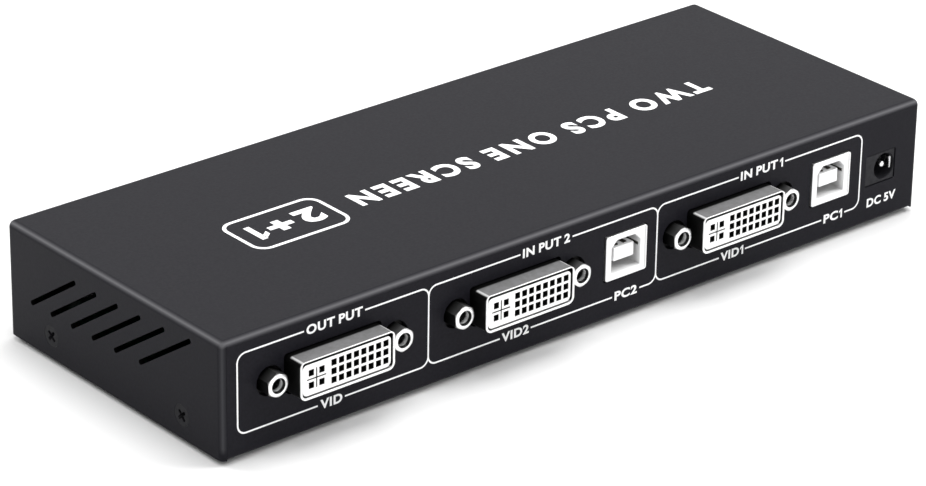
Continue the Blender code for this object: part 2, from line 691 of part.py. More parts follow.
def make_select_button():
    """Cap, plunger, spring and switch housing on one line along Y; the cap and plunger move in."""
    z = z_at(FRONT_UP)
    front_y = -HALF_WIDTH - BUTTON_PROUD
    inner_y = -INNER_Y + GAP
    facing = Matrix.Rotation(math.pi / 2, 4, "X")

    flange_thick, cap_end = 0.0008, inner_y + 0.0024
    cap_profile = [
        (0.0, 0.0), (BUTTON_RADIUS - 0.0004, 0.0), (BUTTON_RADIUS, -0.0004), (BUTTON_RADIUS, front_y - inner_y),
        (BUTTON_RADIUS + 0.0007, front_y - inner_y), (BUTTON_RADIUS + 0.0007, front_y - inner_y - flange_thick),
        (BUTTON_RADIUS - 0.0004, front_y - inner_y - flange_thick), (BUTTON_RADIUS - 0.0004, front_y - cap_end),
        (0.0, front_y - cap_end),
    ]
    place = (BUTTON_X, front_y, z)
    cap = turned("select_button_cap", cap_profile, place, BLACK_PLASTIC, facing)
    post_radius = 0.0014
    socket_deep = 0.0032
    cut(cap, rod("cap_socket", (BUTTON_X, cap_end, z), post_radius + GAP, 2 * socket_deep, None, ALONG_Y,
                 SMALL_SIDES))

    post_front = cap_end - socket_deep + GAP
    housing_front = cap_end + BUTTON_TRAVEL + 2 * GAP
    collar_front = housing_front + 0.0012
    collar_back = collar_front + 0.0016
    plunger_profile = [
        (0.0, 0.0), (post_radius, 0.0), (post_radius, post_front - collar_front),
        (SWITCH_BORE - GAP, post_front - collar_front), (SWITCH_BORE - GAP, post_front - collar_back),
        (0.0, post_front - collar_back),
    ]
    turned("button_plunger", plunger_profile, (BUTTON_X, post_front, z), WHITE_PLASTIC, facing, SMALL_SIDES)

    width, depth, height = SWITCH_SIZE
    housing_z = BOARD_TOP + GAP + height / 2
    housing = box("switch_housing", (BUTTON_X, housing_front + depth / 2, housing_z), SWITCH_SIZE, BLACK_PLASTIC)
    bore_end = housing_front + depth - 0.001
    cut(housing, rod("switch_bore", (BUTTON_X, housing_front, z), SWITCH_BORE, 2 * (depth - 0.001), None, ALONG_Y,
                     ROUND_SIDES))
    make_return_spring(collar_back + GAP, bore_end - GAP, z)


def make_return_spring(start_y, end_y, z):
    """A steel coil behind the plunger's collar that pushes the button back out."""
    turns, points_a_turn, wire_radius, coil_radius = 4, 10, 0.0002, 0.0018
    count = turns * points_a_turn
    travel = end_y - start_y - 2 * wire_radius
    curve = bpy.data.curves.new("button_return_spring", "CURVE")
    curve.dimensions = "3D"
    curve.bevel_depth = wire_radius
    curve.bevel_resolution = 2
    curve.use_fill_caps = True
    curve.resolution_u = 1
    curve.render_resolution_u = 0
    line = curve.splines.new("POLY")
    line.points.add(count)
    for i, point in enumerate(line.points):
        angle = 2 * math.pi * i / points_a_turn
        y = wire_radius + travel * i / count
        point.co = (coil_radius * math.cos(angle), y, coil_radius * math.sin(angle), 1.0)
    curve.materials.append(PLATED_STEEL)
    spring = bpy.data.objects.new("button_return_spring", curve)
    parts.objects.link(spring)
    spring.location = (BUTTON_X, start_y, z)


make_top_cover()
make_cover_screws()
make_base_chassis()
make_feet()
make_board()
make_board_parts()
for socket_name, socket_across in DVI_SOCKETS:
    make_dvi_socket(socket_name, socket_across)
for socket_name, socket_across in USB_B_SOCKETS:
    make_usb_b_socket(socket_name, socket_across)
make_dc_jack()
for number, socket_x in enumerate(USB_A_PLACES, 1):
    make_usb_a_socket(number, socket_x)
for lamp_name, lamp_x in LAMPS:
    make_lamp(lamp_name, lamp_x)
make_select_button()
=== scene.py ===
import math

import bmesh
import bpy
from mathutils import Matrix, Vector


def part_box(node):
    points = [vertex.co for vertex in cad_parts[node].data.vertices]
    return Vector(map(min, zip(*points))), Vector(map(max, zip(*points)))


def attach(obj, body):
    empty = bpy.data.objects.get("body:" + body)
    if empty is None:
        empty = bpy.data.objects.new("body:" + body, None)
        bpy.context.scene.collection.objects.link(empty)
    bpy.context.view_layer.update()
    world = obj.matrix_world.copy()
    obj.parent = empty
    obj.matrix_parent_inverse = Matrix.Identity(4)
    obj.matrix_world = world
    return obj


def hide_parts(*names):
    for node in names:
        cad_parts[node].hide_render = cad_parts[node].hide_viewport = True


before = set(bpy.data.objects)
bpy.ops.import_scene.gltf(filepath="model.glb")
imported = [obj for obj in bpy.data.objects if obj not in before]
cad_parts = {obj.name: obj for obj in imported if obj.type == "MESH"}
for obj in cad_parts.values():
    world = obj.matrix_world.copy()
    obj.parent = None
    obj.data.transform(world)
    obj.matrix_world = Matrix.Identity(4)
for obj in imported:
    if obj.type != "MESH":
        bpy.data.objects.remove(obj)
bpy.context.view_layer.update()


# Base chassis -----------------------------------------------------------------
# One steel sheet folded into floor, front panel and rear panel, with a tab at each corner of the floor
# for the cover's screws. The panels are punched for sockets, button and lamps before the whole sheet is
# powder coated black, so the coat rounds every punched edge.

def only(piece):
    """Selects one piece and nothing else."""
    bpy.ops.object.select_all(action="DESELECT")
    piece.select_set(True)
    bpy.context.view_layer.objects.active = piece


def settle(piece):
    """Moves a piece's place, turn and size into its mesh, so that its object is at the origin."""
    only(piece)
    bpy.ops.object.transform_apply(location=True, rotation=True, scale=True)
    return piece


def block(name, low, high):
    """A rectangular block between its lowest and highest corners."""
    low, high = Vector(low), Vector(high)
    bpy.ops.object.select_all(action="DESELECT")
    bpy.ops.mesh.primitive_cube_add(size=1, location=(low + high) / 2, scale=high - low)
    piece = bpy.context.object
    piece.name = name
    return settle(piece)


def slab(name, middle, xs, ys, zs):
    """A block whose reach in X and Z is measured from a middle, and in Y from the origin."""
    low, high = ((middle.x + xs[end], ys[end], middle.z + zs[end]) for end in (0, 1))
    return block(name, low, high)


def rod(name, start, end, radius, sides=48):
    """A round bar between the middles of its two ends."""
    start, end = Vector(start), Vector(end)
    turn = (end - start).to_track_quat("Z", "Y").to_euler()
    bpy.ops.object.select_all(action="DESELECT")
    bpy.ops.mesh.primitive_cylinder_add(
        vertices=sides, radius=radius, depth=(end - start).length, location=(start + end) / 2, rotation=turn,
    )
    piece = bpy.context.object
    piece.name = name
    return settle(piece)


def open_mesh(piece):
    """Selects one piece and goes into edit mode on it."""
    only(piece)
    bpy.ops.object.mode_set(mode="EDIT")


def close_mesh():
    bpy.ops.object.mode_set(mode="OBJECT")


def pick_all():
    bpy.ops.mesh.select_all(action="SELECT")


def draw_out(way):
    """In edit mode, extrudes what is selected by a stated way."""
    bpy.ops.mesh.extrude_region_move(TRANSFORM_OT_translate={"value": way})


def discard(piece):
    bpy.data.objects.remove(piece, do_unlink=True)


def pick(kind, wanted):
    """In edit mode, selects only the edges or faces that pass a test."""
    bpy.ops.mesh.select_mode(type=kind)
    bpy.ops.mesh.select_all(action="DESELECT")
    shape = bmesh.from_edit_mesh(bpy.context.edit_object.data)
    for item in (shape.edges if kind == "EDGE" else shape.faces):
        if wanted(item):
            item.select_set(True)
    shape.select_flush_mode()
    bmesh.update_edit_mesh(bpy.context.edit_object.data)


def round_run(piece, axis, radius, steps, wanted=lambda middle: True):
    """Rounds the edges that run along one axis, 0 to 2, and whose middle passes a test."""
    def runs_along(edge):
        start, end = (corner.co for corner in edge.verts)
        return abs((end - start).normalized()[axis]) > 0.999 and wanted((start + end) / 2)

    open_mesh(piece)
    pick("EDGE", runs_along)
    bpy.ops.mesh.bevel(offset=radius, segments=steps, affect="EDGES")
    close_mesh()
    return piece


def join(*pieces):
    """Makes several pieces one, which keeps the first one's name."""
    only(pieces[0])
    for piece in pieces:
        piece.select_set(True)
    bpy.ops.object.join()
    return bpy.context.object


def combine(piece, others, operation="DIFFERENCE"):
    """Cuts the other shapes out of a piece, or welds them on, in one step."""
    tool = join(*others)
    only(piece)
    bpy.ops.object.modifier_add(type="BOOLEAN")
    step = piece.modifiers[-1]
    step.operation = operation
    step.object = tool
    step.solver = "EXACT"
    bpy.ops.object.modifier_apply(modifier=step.name)
    discard(tool)
    return piece


def soften(piece, width, steps=2, angle=40):
    """Rounds every sharp edge by a small width, and shades the piece smooth with its flats kept flat."""
    only(piece)
    if width:
        bpy.ops.object.modifier_add(type="BEVEL")
        step = piece.modifiers[-1]
        step.width = width
        step.segments = steps
        step.limit_method = "ANGLE"
        step.angle_limit = math.radians(angle)
        bpy.ops.object.modifier_apply(modifier=step.name)
    bpy.ops.object.shade_smooth_by_angle(angle=math.radians(angle))
    bpy.ops.object.modifier_add(type="WEIGHTED_NORMAL")
    step = piece.modifiers[-1]
    step.keep_sharp = True
    bpy.ops.object.modifier_apply(modifier=step.name)
    return piece


def start_finish(name, metal=0.0, specular=0.5):
    """A new material with its shader, its metalness and its gloss level."""
    finish = bpy.data.materials.new(name)
    finish.use_nodes = True
    shader = finish.node_tree.nodes["Principled BSDF"]
    shader.inputs["Metallic"].default_value = metal
    shader.inputs["Specular IOR Level"].default_value = specular
    return finish, finish.node_tree, shader


def grain(tree, spots, detail=2.0, stretch=(1, 1, 1)):
    """Noise over the piece's own coordinates, in spots per metre."""
    place = tree.nodes.new("ShaderNodeTexCoord")
    mapping = tree.nodes.new("ShaderNodeMapping")
    mapping.inputs["Scale"].default_value = stretch
    noise = tree.nodes.new("ShaderNodeTexNoise")
    noise.inputs["Scale"].default_value = spots
    noise.inputs["Detail"].default_value = detail
    tree.links.new(place.outputs["Object"], mapping.inputs["Vector"])
    tree.links.new(mapping.outputs["Vector"], noise.inputs["Vector"])
    return noise.outputs["Fac"]


def along(tree, axis, kind="Object"):
    """The place of the shaded spot along one axis of the piece, or with "Normal", which way it faces."""
    place = tree.nodes.new("ShaderNodeTexCoord")
    parts = tree.nodes.new("ShaderNodeSeparateXYZ")
    tree.links.new(place.outputs[kind], parts.inputs["Vector"])
    return parts.outputs[axis]


def spread(tree, value, low, high, start=0.35, end=0.65):
    """Stretches the middle of a noise, or any stated range, to go from low to high."""
    step = tree.nodes.new("ShaderNodeMapRange")
    for socket, number in (("From Min", start), ("From Max", end), ("To Min", low), ("To Max", high)):
        step.inputs[socket].default_value = number
    tree.links.new(value, step.inputs["Value"])
    return step.outputs["Result"]


def shade(tree, factor, first, second):
    """A colour that goes from the first to the second; either may be a colour or another node's output."""
    mix = tree.nodes.new("ShaderNodeMix")
    mix.data_type = "RGBA"
    tree.links.new(factor, mix.inputs["Factor"])
    for socket, colour in ((mix.inputs[6], first), (mix.inputs[7], second)):
        if isinstance(colour, bpy.types.NodeSocket):
            tree.links.new(colour, socket)
        else:
            socket.default_value = (*colour, 1.0)
    return mix.outputs[2]


def dimple(tree, shader, height, depth, strength=1.0):
    """Turns a height into small relief, its depth in metres."""
    bump = tree.nodes.new("ShaderNodeBump")
    bump.inputs["Strength"].default_value = strength
    bump.inputs["Distance"].default_value = depth
    tree.links.new(height, bump.inputs["Height"])
    tree.links.new(bump.outputs["Normal"], shader.inputs["Normal"])


def reckon(tree, operation, first, second=None):
    """One step of arithmetic on what comes out of other nodes."""
    step = tree.nodes.new("ShaderNodeMath")
    step.operation = operation
    tree.links.new(first, step.inputs[0])
    if second is not None:
        tree.links.new(second, step.inputs[1])
    return step.outputs["Value"]


def feed(tree, shader, colour, spots, rough_low, rough_high):
    """Gives a shader its colour, and a roughness that wanders between two values."""
    tree.links.new(colour, shader.inputs["Base Color"])
    tree.links.new(spread(tree, grain(tree, spots), rough_low, rough_high), shader.inputs["Roughness"])


def fit(piece, finish, slot, *nodes, body="switch_box"):
    """Gives a finished piece its material, and fixes it to its body in place of its CAD nodes."""
    piece.data.materials.clear()
    piece.data.materials.append(finish)
    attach(piece, body)
    if nodes:
        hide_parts(*nodes)
    return piece


def middle_of(node):
    low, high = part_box(node)
    return (low + high) / 2


def make_powder_coat():
    """Black powder coat: fine orange peel, faintly mottled, with a painted highlight along the folded edges,
    brighter where they face up.
    """
    finish, tree, shader = start_finish("powder_coat_black", specular=0.07)
    facing_x, facing_y, facing_z = (reckon(tree, "ABSOLUTE", along(tree, axis, "Normal")) for axis in "XYZ")
    squarest = reckon(tree, "MAXIMUM", reckon(tree, "MAXIMUM", facing_x, facing_y), facing_z)
    bend = spread(tree, squarest, 1.0, 0.0, 0.74, 0.99)
    height = along(tree, "Z")
    at_top = spread(tree, height, 0.0, 1.0, 0.0256, 0.0262)
    at_panel = spread(tree, reckon(tree, "ABSOLUTE", along(tree, "Y")), 0.0, 1.0, 0.0361, 0.0364)
    above_fold = spread(tree, height, 0.0, 1.0, 0.0025, 0.0040)
    edge = reckon(tree, "MULTIPLY", reckon(tree, "MAXIMUM", at_top, at_panel), above_fold)
    mottle = spread(tree, grain(tree, 1800, 3.0), 0.0, 1.0)
    flat = shade(tree, mottle, (0.0080, 0.0077, 0.0105), (0.0102, 0.0099, 0.0133))
    # Painted highlight: the folded edges are coloured lighter, and lighter still where they face up, to stand
    # for the light they catch.
    highlight_facing_up = spread(tree, along(tree, "Z", "Normal"), 0.0, 1.0, 0.05, 0.45)
    painted_bend_highlight = shade(tree, highlight_facing_up, (0.045, 0.045, 0.050), (0.100, 0.099, 0.106))
    feed(tree, shader, shade(tree, reckon(tree, "MULTIPLY", bend, edge), flat, painted_bend_highlight), 1500, 0.41, 0.46)
    dimple(tree, shader, grain(tree, 3200, 2.0), 0.00002, 0.35)
    return finish


powder_coat = make_powder_coat()
sheet, bend_radius = 0.0012, 0.0010
beyond = 0.01   # how far a cutting shape runs past what it cuts
hair = 0.00012  # closes the joint between the two sheets
chassis_low, chassis_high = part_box("base_chassis")
chassis = block(
    "chassis_sheet", (chassis_low.x - hair, chassis_low.y, chassis_low.z),
    (chassis_high.x + hair, chassis_high.y, chassis_high.z + hair),
)
round_run(chassis, 0, bend_radius, 6, lambda middle: middle.z < chassis_low.z + sheet)
hollow = block(
    "chassis_hollow", (chassis_low.x - beyond, chassis_low.y + sheet, chassis_low.z + sheet),
    (chassis_high.x + beyond, chassis_high.y - sheet, chassis_high.z + beyond),
)
combine(chassis, [hollow])

tab_half_wide, tab_above_screw, tab_corner, tab_hole_radius = 0.005, 0.0039, 0.0015, 0.0016
cover_screws = [
    (end, f"cover_screw_{end_name}_{place}")
    for end, end_name in ((1, "near"), (-1, "far")) for place in ("front", "rear")
]
tabs, punches = [], []
for end, node in cover_screws:
    middle = middle_of(node)
    outer, inner = end * chassis_high.x, end * (chassis_high.x - sheet)
    tab = block(
        "tab", (min(outer, inner), middle.y - tab_half_wide, chassis_low.z + sheet / 2),
        (max(outer, inner), middle.y + tab_half_wide, middle.z + tab_above_screw),
    )
    tabs.append(round_run(tab, 0, tab_corner, 4, lambda point: point.z > middle.z))
    start, stop = (outer + end * sheet, middle.y, middle.z), (inner - end * sheet, middle.y, middle.z)
    punches.append(rod("tab_hole", start, stop, tab_hole_radius))
combine(chassis, tabs, "UNION")

punch_inner, punch_outer = 0.0356, 0.0392
shroud_hole_x, shroud_hole_z, jackscrew_hole_radius = (-0.0128, 0.0128), (-0.0048, 0.0048), 0.0034
for socket in ("output", "input_2", "input_1"):
    middle = middle_of(f"dvi_{socket}_shell")
    punch = slab("dvi_punch", middle, shroud_hole_x, (punch_inner, punch_outer), shroud_hole_z)
    round_run(punch, 1, 0.0008, 4, lambda point: point.z > middle.z)
    round_run(punch, 1, 0.0018, 6, lambda point: point.z < middle.z)
    punches.append(punch)
    for side in ("near", "far"):
        x, _, z = middle_of(f"dvi_{socket}_jackscrew_{side}")
        start, stop = (x, punch_inner, z), (x, punch_outer, z)
        punches.append(rod("jackscrew_punch", start, stop, jackscrew_hole_radius, 64))
rear_square = [(node, 1, 0.0002, 0.0003) for node in ("usb_b_2_shell", "usb_b_1_shell", "dc_jack_body")]
front_square = [(f"usb_a_{number}_shell", -1, 0.0003, 0.0004) for number in (1, 2, 3, 4)]
for node, panel, margin, corner in rear_square + front_square:
    low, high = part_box(node)
    y_low, y_high = sorted((panel * punch_inner, panel * punch_outer))
    punch = block(
        "square_punch", (low.x - margin, y_low, low.z - margin), (high.x + margin, y_high, high.z + margin),
    )
    punches.append(round_run(punch, 1, corner, 3))
lamp_hole_radius = 0.00165
for node, radius in (
    ("button_plunger", 0.0037), ("lamp_power", lamp_hole_radius), ("lamp_computer_1", lamp_hole_radius),
    ("lamp_computer_2", lamp_hole_radius),
):
    x, _, z = middle_of(node)
    punches.append(rod("round_punch", (x, -punch_outer, z), (x, -punch_inner, z), radius))
combine(chassis, punches)
soften(chassis, 0.00005)
fit(chassis, powder_coat, "black_coat", "base_chassis")


# Rubber feet ------------------------------------------------------------------
# Four self-adhesive bumpers of black rubber under the corners of the floor, each a low disc with a
# rounded rim and a shallow dish in its underside.

def turned(name, steps, sides=48):
    """A round shape about the Z axis, drawn out of a disc ring by ring: each step is a radius and height."""
    first_radius, first_height = steps[0]
    bpy.ops.object.select_all(action="DESELECT")
    bpy.ops.mesh.primitive_circle_add(
        vertices=sides, radius=first_radius, fill_type="NGON", location=(0, 0, first_height),
    )
    piece = bpy.context.object
    piece.name = name
    open_mesh(piece)
    pick_all()
    radius, height = first_radius, first_height
    for next_radius, next_height in steps[1:]:
        rise = (0, 0, next_height - height)
        draw_out(rise)
        change = next_radius / radius
        bpy.ops.transform.resize(value=(change, change, 1), center_override=(0, 0, next_height))
        radius, height = next_radius, next_height
    pick_all()
    bpy.ops.mesh.normals_make_consistent(inside=False)
    close_mesh()
    return settle(piece)


def stand(piece, place, toward):
    """Turns a shape made about the Z axis to point another way, and moves it to its place."""
    turn = Vector(toward).to_track_quat("Z", "Y").to_matrix().to_4x4()
    piece.data.transform(Matrix.Translation(place) @ turn)
    return piece


def repeat(piece, name, shift):
    """A copy of a piece with a mesh of its own, moved along."""
    copy = piece.copy()
    copy.data = piece.data.copy()
    copy.name = name
    bpy.context.scene.collection.objects.link(copy)
    copy.data.transform(Matrix.Translation(shift))
    return copy


def make_rubber():
    """Matte black rubber with a fine moulded grain."""
    finish, tree, shader = start_finish("rubber_black", specular=0.3)
    mottle = spread(tree, grain(tree, 700), 0.0, 1.0)
    feed(tree, shader, shade(tree, mottle, (0.012, 0.012, 0.012), (0.028, 0.028, 0.028)), 1500, 0.72, 0.9)
    dimple(tree, shader, grain(tree, 5000), 0.00002, 0.4)
    return finish


rubber = make_rubber()
foot_middle = middle_of("foot_near_front")
foot_tall = 2 * foot_middle.z
foot = turned("foot_pad_near_front", [
    (0.0022, 0.00012), (0.0026, 0.0), (0.0040, 0.0), (0.00435, 0.00006), (0.0046, 0.00022), (0.0048, 0.0005),
    (0.0049, foot_tall - 0.0001), (0.00495, foot_tall),
])
stand(foot, (foot_middle.x, foot_middle.y, 0), (0, 0, 1))
feet = [(foot, "foot_near_front")]
for node in ("foot_near_rear", "foot_far_front", "foot_far_rear"):
    feet.append((repeat(foot, node.replace("foot_", "foot_pad_"), middle_of(node) - foot_middle), node))
for pad, node in feet:
    fit(soften(pad, 0, angle=35), rubber, "rubber", node)


# Circuit board, its screws and parts ------------------------------------------
# A green fibreglass board on four hexagonal brass standoffs, with three moulded chips, a canned crystal
# and two aluminium capacitors soldered to it. The solids keep their shape here and take real finishes.

def make_board_mask():
    """Green solder mask over copper tracks, which show as faintly lighter lanes."""
    finish, tree, shader = start_finish("solder_mask_green")
    place = tree.nodes.new("ShaderNodeTexCoord")
    lanes = tree.nodes.new("ShaderNodeTexBrick")
    lanes.inputs["Scale"].default_value = 160
    lanes.inputs["Mortar Size"].default_value = 0.035
    lanes.inputs["Color1"].default_value = (0.003, 0.034, 0.013, 1)
    lanes.inputs["Color2"].default_value = (0.004, 0.044, 0.017, 1)
    lanes.inputs["Mortar"].default_value = (0.009, 0.080, 0.034, 1)
    tree.links.new(place.outputs["Object"], lanes.inputs["Vector"])
    mottle = spread(tree, grain(tree, 300), 0.0, 0.35)
    feed(tree, shader, shade(tree, mottle, lanes.outputs["Color"], (0.004, 0.05, 0.02)), 800, 0.28, 0.42)
    dimple(tree, shader, lanes.outputs["Fac"], 0.00003, 0.6)
    return finish


def make_plain_finish(name, dark, light, rough, spots, relief, metal=0.0, specular=0.5, stretch=(1, 1, 1)):
    """A finish whose colour and gloss both wander a little, with fine relief."""
    finish, tree, shader = start_finish(name, metal, specular)
    mottle = spread(tree, grain(tree, spots, 3.0, stretch), 0.0, 1.0)
    tree.links.new(shade(tree, mottle, dark, light), shader.inputs["Base Color"])
    tree.links.new(spread(tree, grain(tree, spots * 0.6, 2.0, stretch), *rough), shader.inputs["Roughness"])
    dimple(tree, shader, grain(tree, spots * 2.5, 2.0, stretch), relief, 0.5)
    return finish


board_mask = make_board_mask()
brass = make_plain_finish(
    "brass_turned", (0.58, 0.40, 0.14), (0.74, 0.55, 0.24), (0.22, 0.38), 900, 0.00001, 1.0, 0.5, (1, 1, 6))
zinc_plate = make_plain_finish(
    "zinc_plate", (0.56, 0.57, 0.58), (0.70, 0.70, 0.70), (0.25, 0.42), 800, 0.00001, 1.0)
chip_epoxy = make_plain_finish(
    "chip_epoxy", (0.010, 0.010, 0.011), (0.022, 0.022, 0.024), (0.45, 0.62), 2500, 0.00001)
can_metal = make_plain_finish(
    "drawn_aluminium", (0.62, 0.62, 0.64), (0.78, 0.78, 0.80), (0.24, 0.36), 700, 0.00001,
    1.0, 0.5, (1, 1, 5))
for finish, names in (
    (board_mask, ("circuit_board",)),
    (brass, [f"board_standoff_{i}" for i in (1, 2, 3, 4)]),
    (zinc_plate, [f"board_screw_{i}" for i in (1, 2, 3, 4)]),
    (chip_epoxy, ("video_switch_chip", "usb_hub_chip", "controller_chip")),
    (can_metal, ("crystal", "capacitor_1", "capacitor_2")),
):
    for name in names:
        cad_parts[name].material_slots[0].material = finish


# Top cover --------------------------------------------------------------------
# The second steel sheet, folded down over both ends, with six slanted slots punched through each end to
# let warm air out, and two countersunk holes at each end for the screws that hold it to the chassis.

cover_low, cover_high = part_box("top_cover")
cover = block("cover_sheet", cover_low, cover_high)
fold_radius = 0.0016
open_mesh(cover)
pick("EDGE", lambda edge: max(corner.co.z for corner in edge.verts) > cover_low.z + sheet)
bpy.ops.mesh.bevel(offset=fold_radius, segments=8, affect="EDGES")
close_mesh()
hollow = block(
    "cover_hollow", (cover_low.x + sheet, cover_low.y - beyond, cover_low.z - beyond),
    (cover_high.x - sheet, cover_high.y + beyond, cover_high.z - sheet),
)
combine(cover, [hollow])

slot_tilt, slot_wide = math.radians(34.1), 0.00115
vents = []
for y, z, slot_long in (
    (-0.02115, 0.0171, 0.0202), (-0.01376, 0.0172, 0.0205), (-0.0062, 0.0174, 0.0208),
    (0.00155, 0.0177, 0.0212), (0.0097, 0.0181, 0.0216), (0.0186, 0.0189, 0.0218),
):
    vent = block(
        "vent_punch", (cover_low.x - beyond, -slot_long / 2, -slot_wide / 2),
        (cover_high.x + beyond, slot_long / 2, slot_wide / 2),
    )
    round_run(vent, 0, slot_wide * 0.49, 8)
    vent.data.transform(Matrix.Translation((0, y, z)) @ Matrix.Rotation(slot_tilt, 4, "X"))
    vents.append(vent)
combine(cover, vents)

head_radius = 0.0025
sink_steps = [(0.00145, -0.0016), (0.00145, -0.0012), (head_radius + 0.00004, 0.0), (0.0036, 0.0010)]
sinks = []
for end, node in cover_screws:
    middle = middle_of(node)
    sinks.append(stand(turned("sink", sink_steps), (end * cover_high.x, middle.y, middle.z), (end, 0, 0)))
combine(cover, sinks)
soften(cover, 0.00005)
fit(cover, powder_coat, "black_coat", "top_cover")


def coat_faces(piece, finish, wanted):
    """Gives a second finish to those faces of a fitted piece that pass a test."""
    piece.data.materials.append(finish)
    piece.active_material_index = len(piece.data.materials) - 1
    open_mesh(piece)
    pick("FACE", wanted)
    bpy.ops.object.material_slot_assign()
    close_mesh()


def in_slot(face):
    """Tells whether a face of the cover is the wall of a vent or of a screw's sink."""
    middle = face.calc_center_median()
    in_end = abs(middle.x) > cover_high.x - sheet - 0.0001
    return in_end and abs(face.normal.x) < 0.3 and middle.z < 0.0255 and abs(middle.y) < 0.036


# Painted shade: the walls of the vents and of the screws' sinks are coloured darker than the coat.
slot_wall_shade = make_plain_finish(
    "slot_wall_shade", (0.0012, 0.0012, 0.0012), (0.0025, 0.0025, 0.0025), (0.6, 0.8), 1500, 0.000005, 0.0, 0.05)
coat_faces(cover, slot_wall_shade, in_slot)


# Cover screws -----------------------------------------------------------------
# Four steel machine screws with countersunk heads and cross recesses, blackened to match the coat, and
# driven flush into the ends.

black_oxide = make_plain_finish(
    "black_oxide", (0.0095, 0.0094, 0.0112), (0.0135, 0.0133, 0.0155), (0.40, 0.50), 1800, 0.00001, 0.0, 0.09)


def cross_recess(across, width, deep):
    """A cross with tapering blades about the Z axis, to be cut into a screw head at height 0."""
    blades = []
    for long_x, long_y in ((across, width), (width, across)):
        blade = block("blade", (-long_x / 2, -long_y / 2, -deep), (long_x / 2, long_y / 2, deep))
        open_mesh(blade)
        pick("FACE", lambda face: face.normal.z < -0.9)
        bpy.ops.transform.resize(value=(0.45, 0.45, 1), center_override=(0, 0, -deep))
        close_mesh()
        blades.append(blade)
    return blades


screw = turned("cover_screw", [
    (0.0009, -0.006), (0.00125, -0.0056), (0.00125, -0.0013), (0.0014, -0.0011), (0.00244, -0.00010),
    (0.0025, -0.00004), (0.00246, 0.0),
])
for blade in cross_recess(0.0040, 0.00105, 0.0014):
    combine(screw, [blade])
soften(screw, 0.00003, 1, 35)
sunk = 0.00002
for end, node in cover_screws:
    middle = middle_of(node)
    placed = repeat(screw, node.replace("screw", "screw_head"), (0, 0, 0))
    placed.data.transform(Matrix.Rotation(math.radians(42 if node.endswith("rear") else 50), 4, "Z"))
    stand(placed, (end * (cover_high.x - sunk), middle.y, middle.z), (end, 0, 0))
    fit(placed, black_oxide, "screw_steel", node)
discard(screw)


# Video sockets: shrouds -------------------------------------------------------
# Each of the three sockets has a nickel-plated steel shroud, drawn out of a flat flange that is held
# behind the rear panel. Its low corners are rounded more than its top ones. Its rim has a painted
# highlight, and its sides and its base by the panel have painted shade.

def make_nickel_painted_light(name, metal, back, full, front, satin, side, rim=0.96):
    """Nickel on drawn steel with painted light: painted shade by the panel and on the sideways faces, satin
    along its body, and a painted highlight on its rounds and its rim.
    """
    finish, tree, shader = start_finish(name, metal, 0.3)
    mottle = spread(tree, grain(tree, 900, 3.0), 0.0, 1.0)
    body = shade(tree, mottle, [satin * 0.85] * 3, [satin, satin, satin * 1.02])
    sideways = reckon(tree, "ABSOLUTE", along(tree, "X", "Normal"))
    # Painted highlight on the rounded edges, then painted shade on the faces that look sideways.
    body = shade(tree, spread(tree, sideways, 0.0, 1.0, 0.12, 0.3), body, [satin * 3.0] * 3)
    body = shade(tree, spread(tree, sideways, 0.0, 1.0, 0.5, 0.7), body, [side] * 3)
    # Painted shade by the panel.
    body = shade(tree, spread(tree, along(tree, "Y"), 0.0, 1.0, back, full), (0.003, 0.003, 0.003), body)
    # Painted highlight on the rim.
    bright = spread(tree, along(tree, "Y"), 0.0, 1.0, front - 0.00026, front - 0.00014)
    feed(tree, shader, shade(tree, bright, body, [rim] * 3), 700, 0.38, 0.46)
    dimple(tree, shader, grain(tree, 1600), 0.000003, 0.3)
    return finish


shell_low, shell_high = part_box("dvi_output_shell")
socket_middle = (shell_low + shell_high) / 2
shroud_nickel = make_nickel_painted_light("satin_nickel_shroud_painted_light", 0.35, 0.0388, 0.0392, shell_high.y, 0.25, 0.005)
mouth_half_x, mouth_half_z, mouth_top_corner, mouth_low_corner = 0.0124, 0.0044, 0.0012, 0.0016
shroud_wall, brow_wall = 0.0005, 0.00022
flange_back, flange_front = shell_low.y, shell_low.y + 0.0008
jackscrew_xs = [middle_of(f"dvi_output_jackscrew_{side}").x for side in ("near", "far")]
bore_radius = 0.0016


def shroud_block(name, inset, inset_top, back, front):
    """A solid with the shroud's outline, shrunk by an inset, between two depths."""
    middle = socket_middle
    half_x = mouth_half_x - inset
    zs = (inset - mouth_half_z, mouth_half_z - inset_top)
    solid = slab(name, middle, (-half_x, half_x), (back, front), zs)
    round_run(solid, 1, mouth_low_corner - inset, 7, lambda point: point.z < middle.z)
    return round_run(solid, 1, mouth_top_corner - inset, 6, lambda point: point.z > middle.z)


shroud = shroud_block("dvi_output_shroud", 0, 0, flange_back, shell_high.y)
flange = block(
    "flange", (shell_low.x, flange_back, shell_low.z), (shell_high.x, flange_front, shell_high.z),
)
round_run(flange, 1, 0.0010, 4)
combine(shroud, [flange], "UNION")
bores = [shroud_block("mouth", shroud_wall, brow_wall, flange_back - beyond, shell_high.y + beyond)]
for x in jackscrew_xs:
    start, stop = (x, flange_back - 0.002, socket_middle.z), (x, flange_front + 0.002, socket_middle.z)
    bores.append(rod("bore", start, stop, bore_radius))
combine(shroud, bores)
soften(shroud, 0.00010, 3)


# Video sockets: inserts -------------------------------------------------------
# The white thermoplastic insert nearly fills the shroud. It has 24 square pin holes in three rows, and a
# cross-shaped slot with four more holes round it, all with chamfered mouths; behind the panel it widens
# into the block that is soldered to the board.

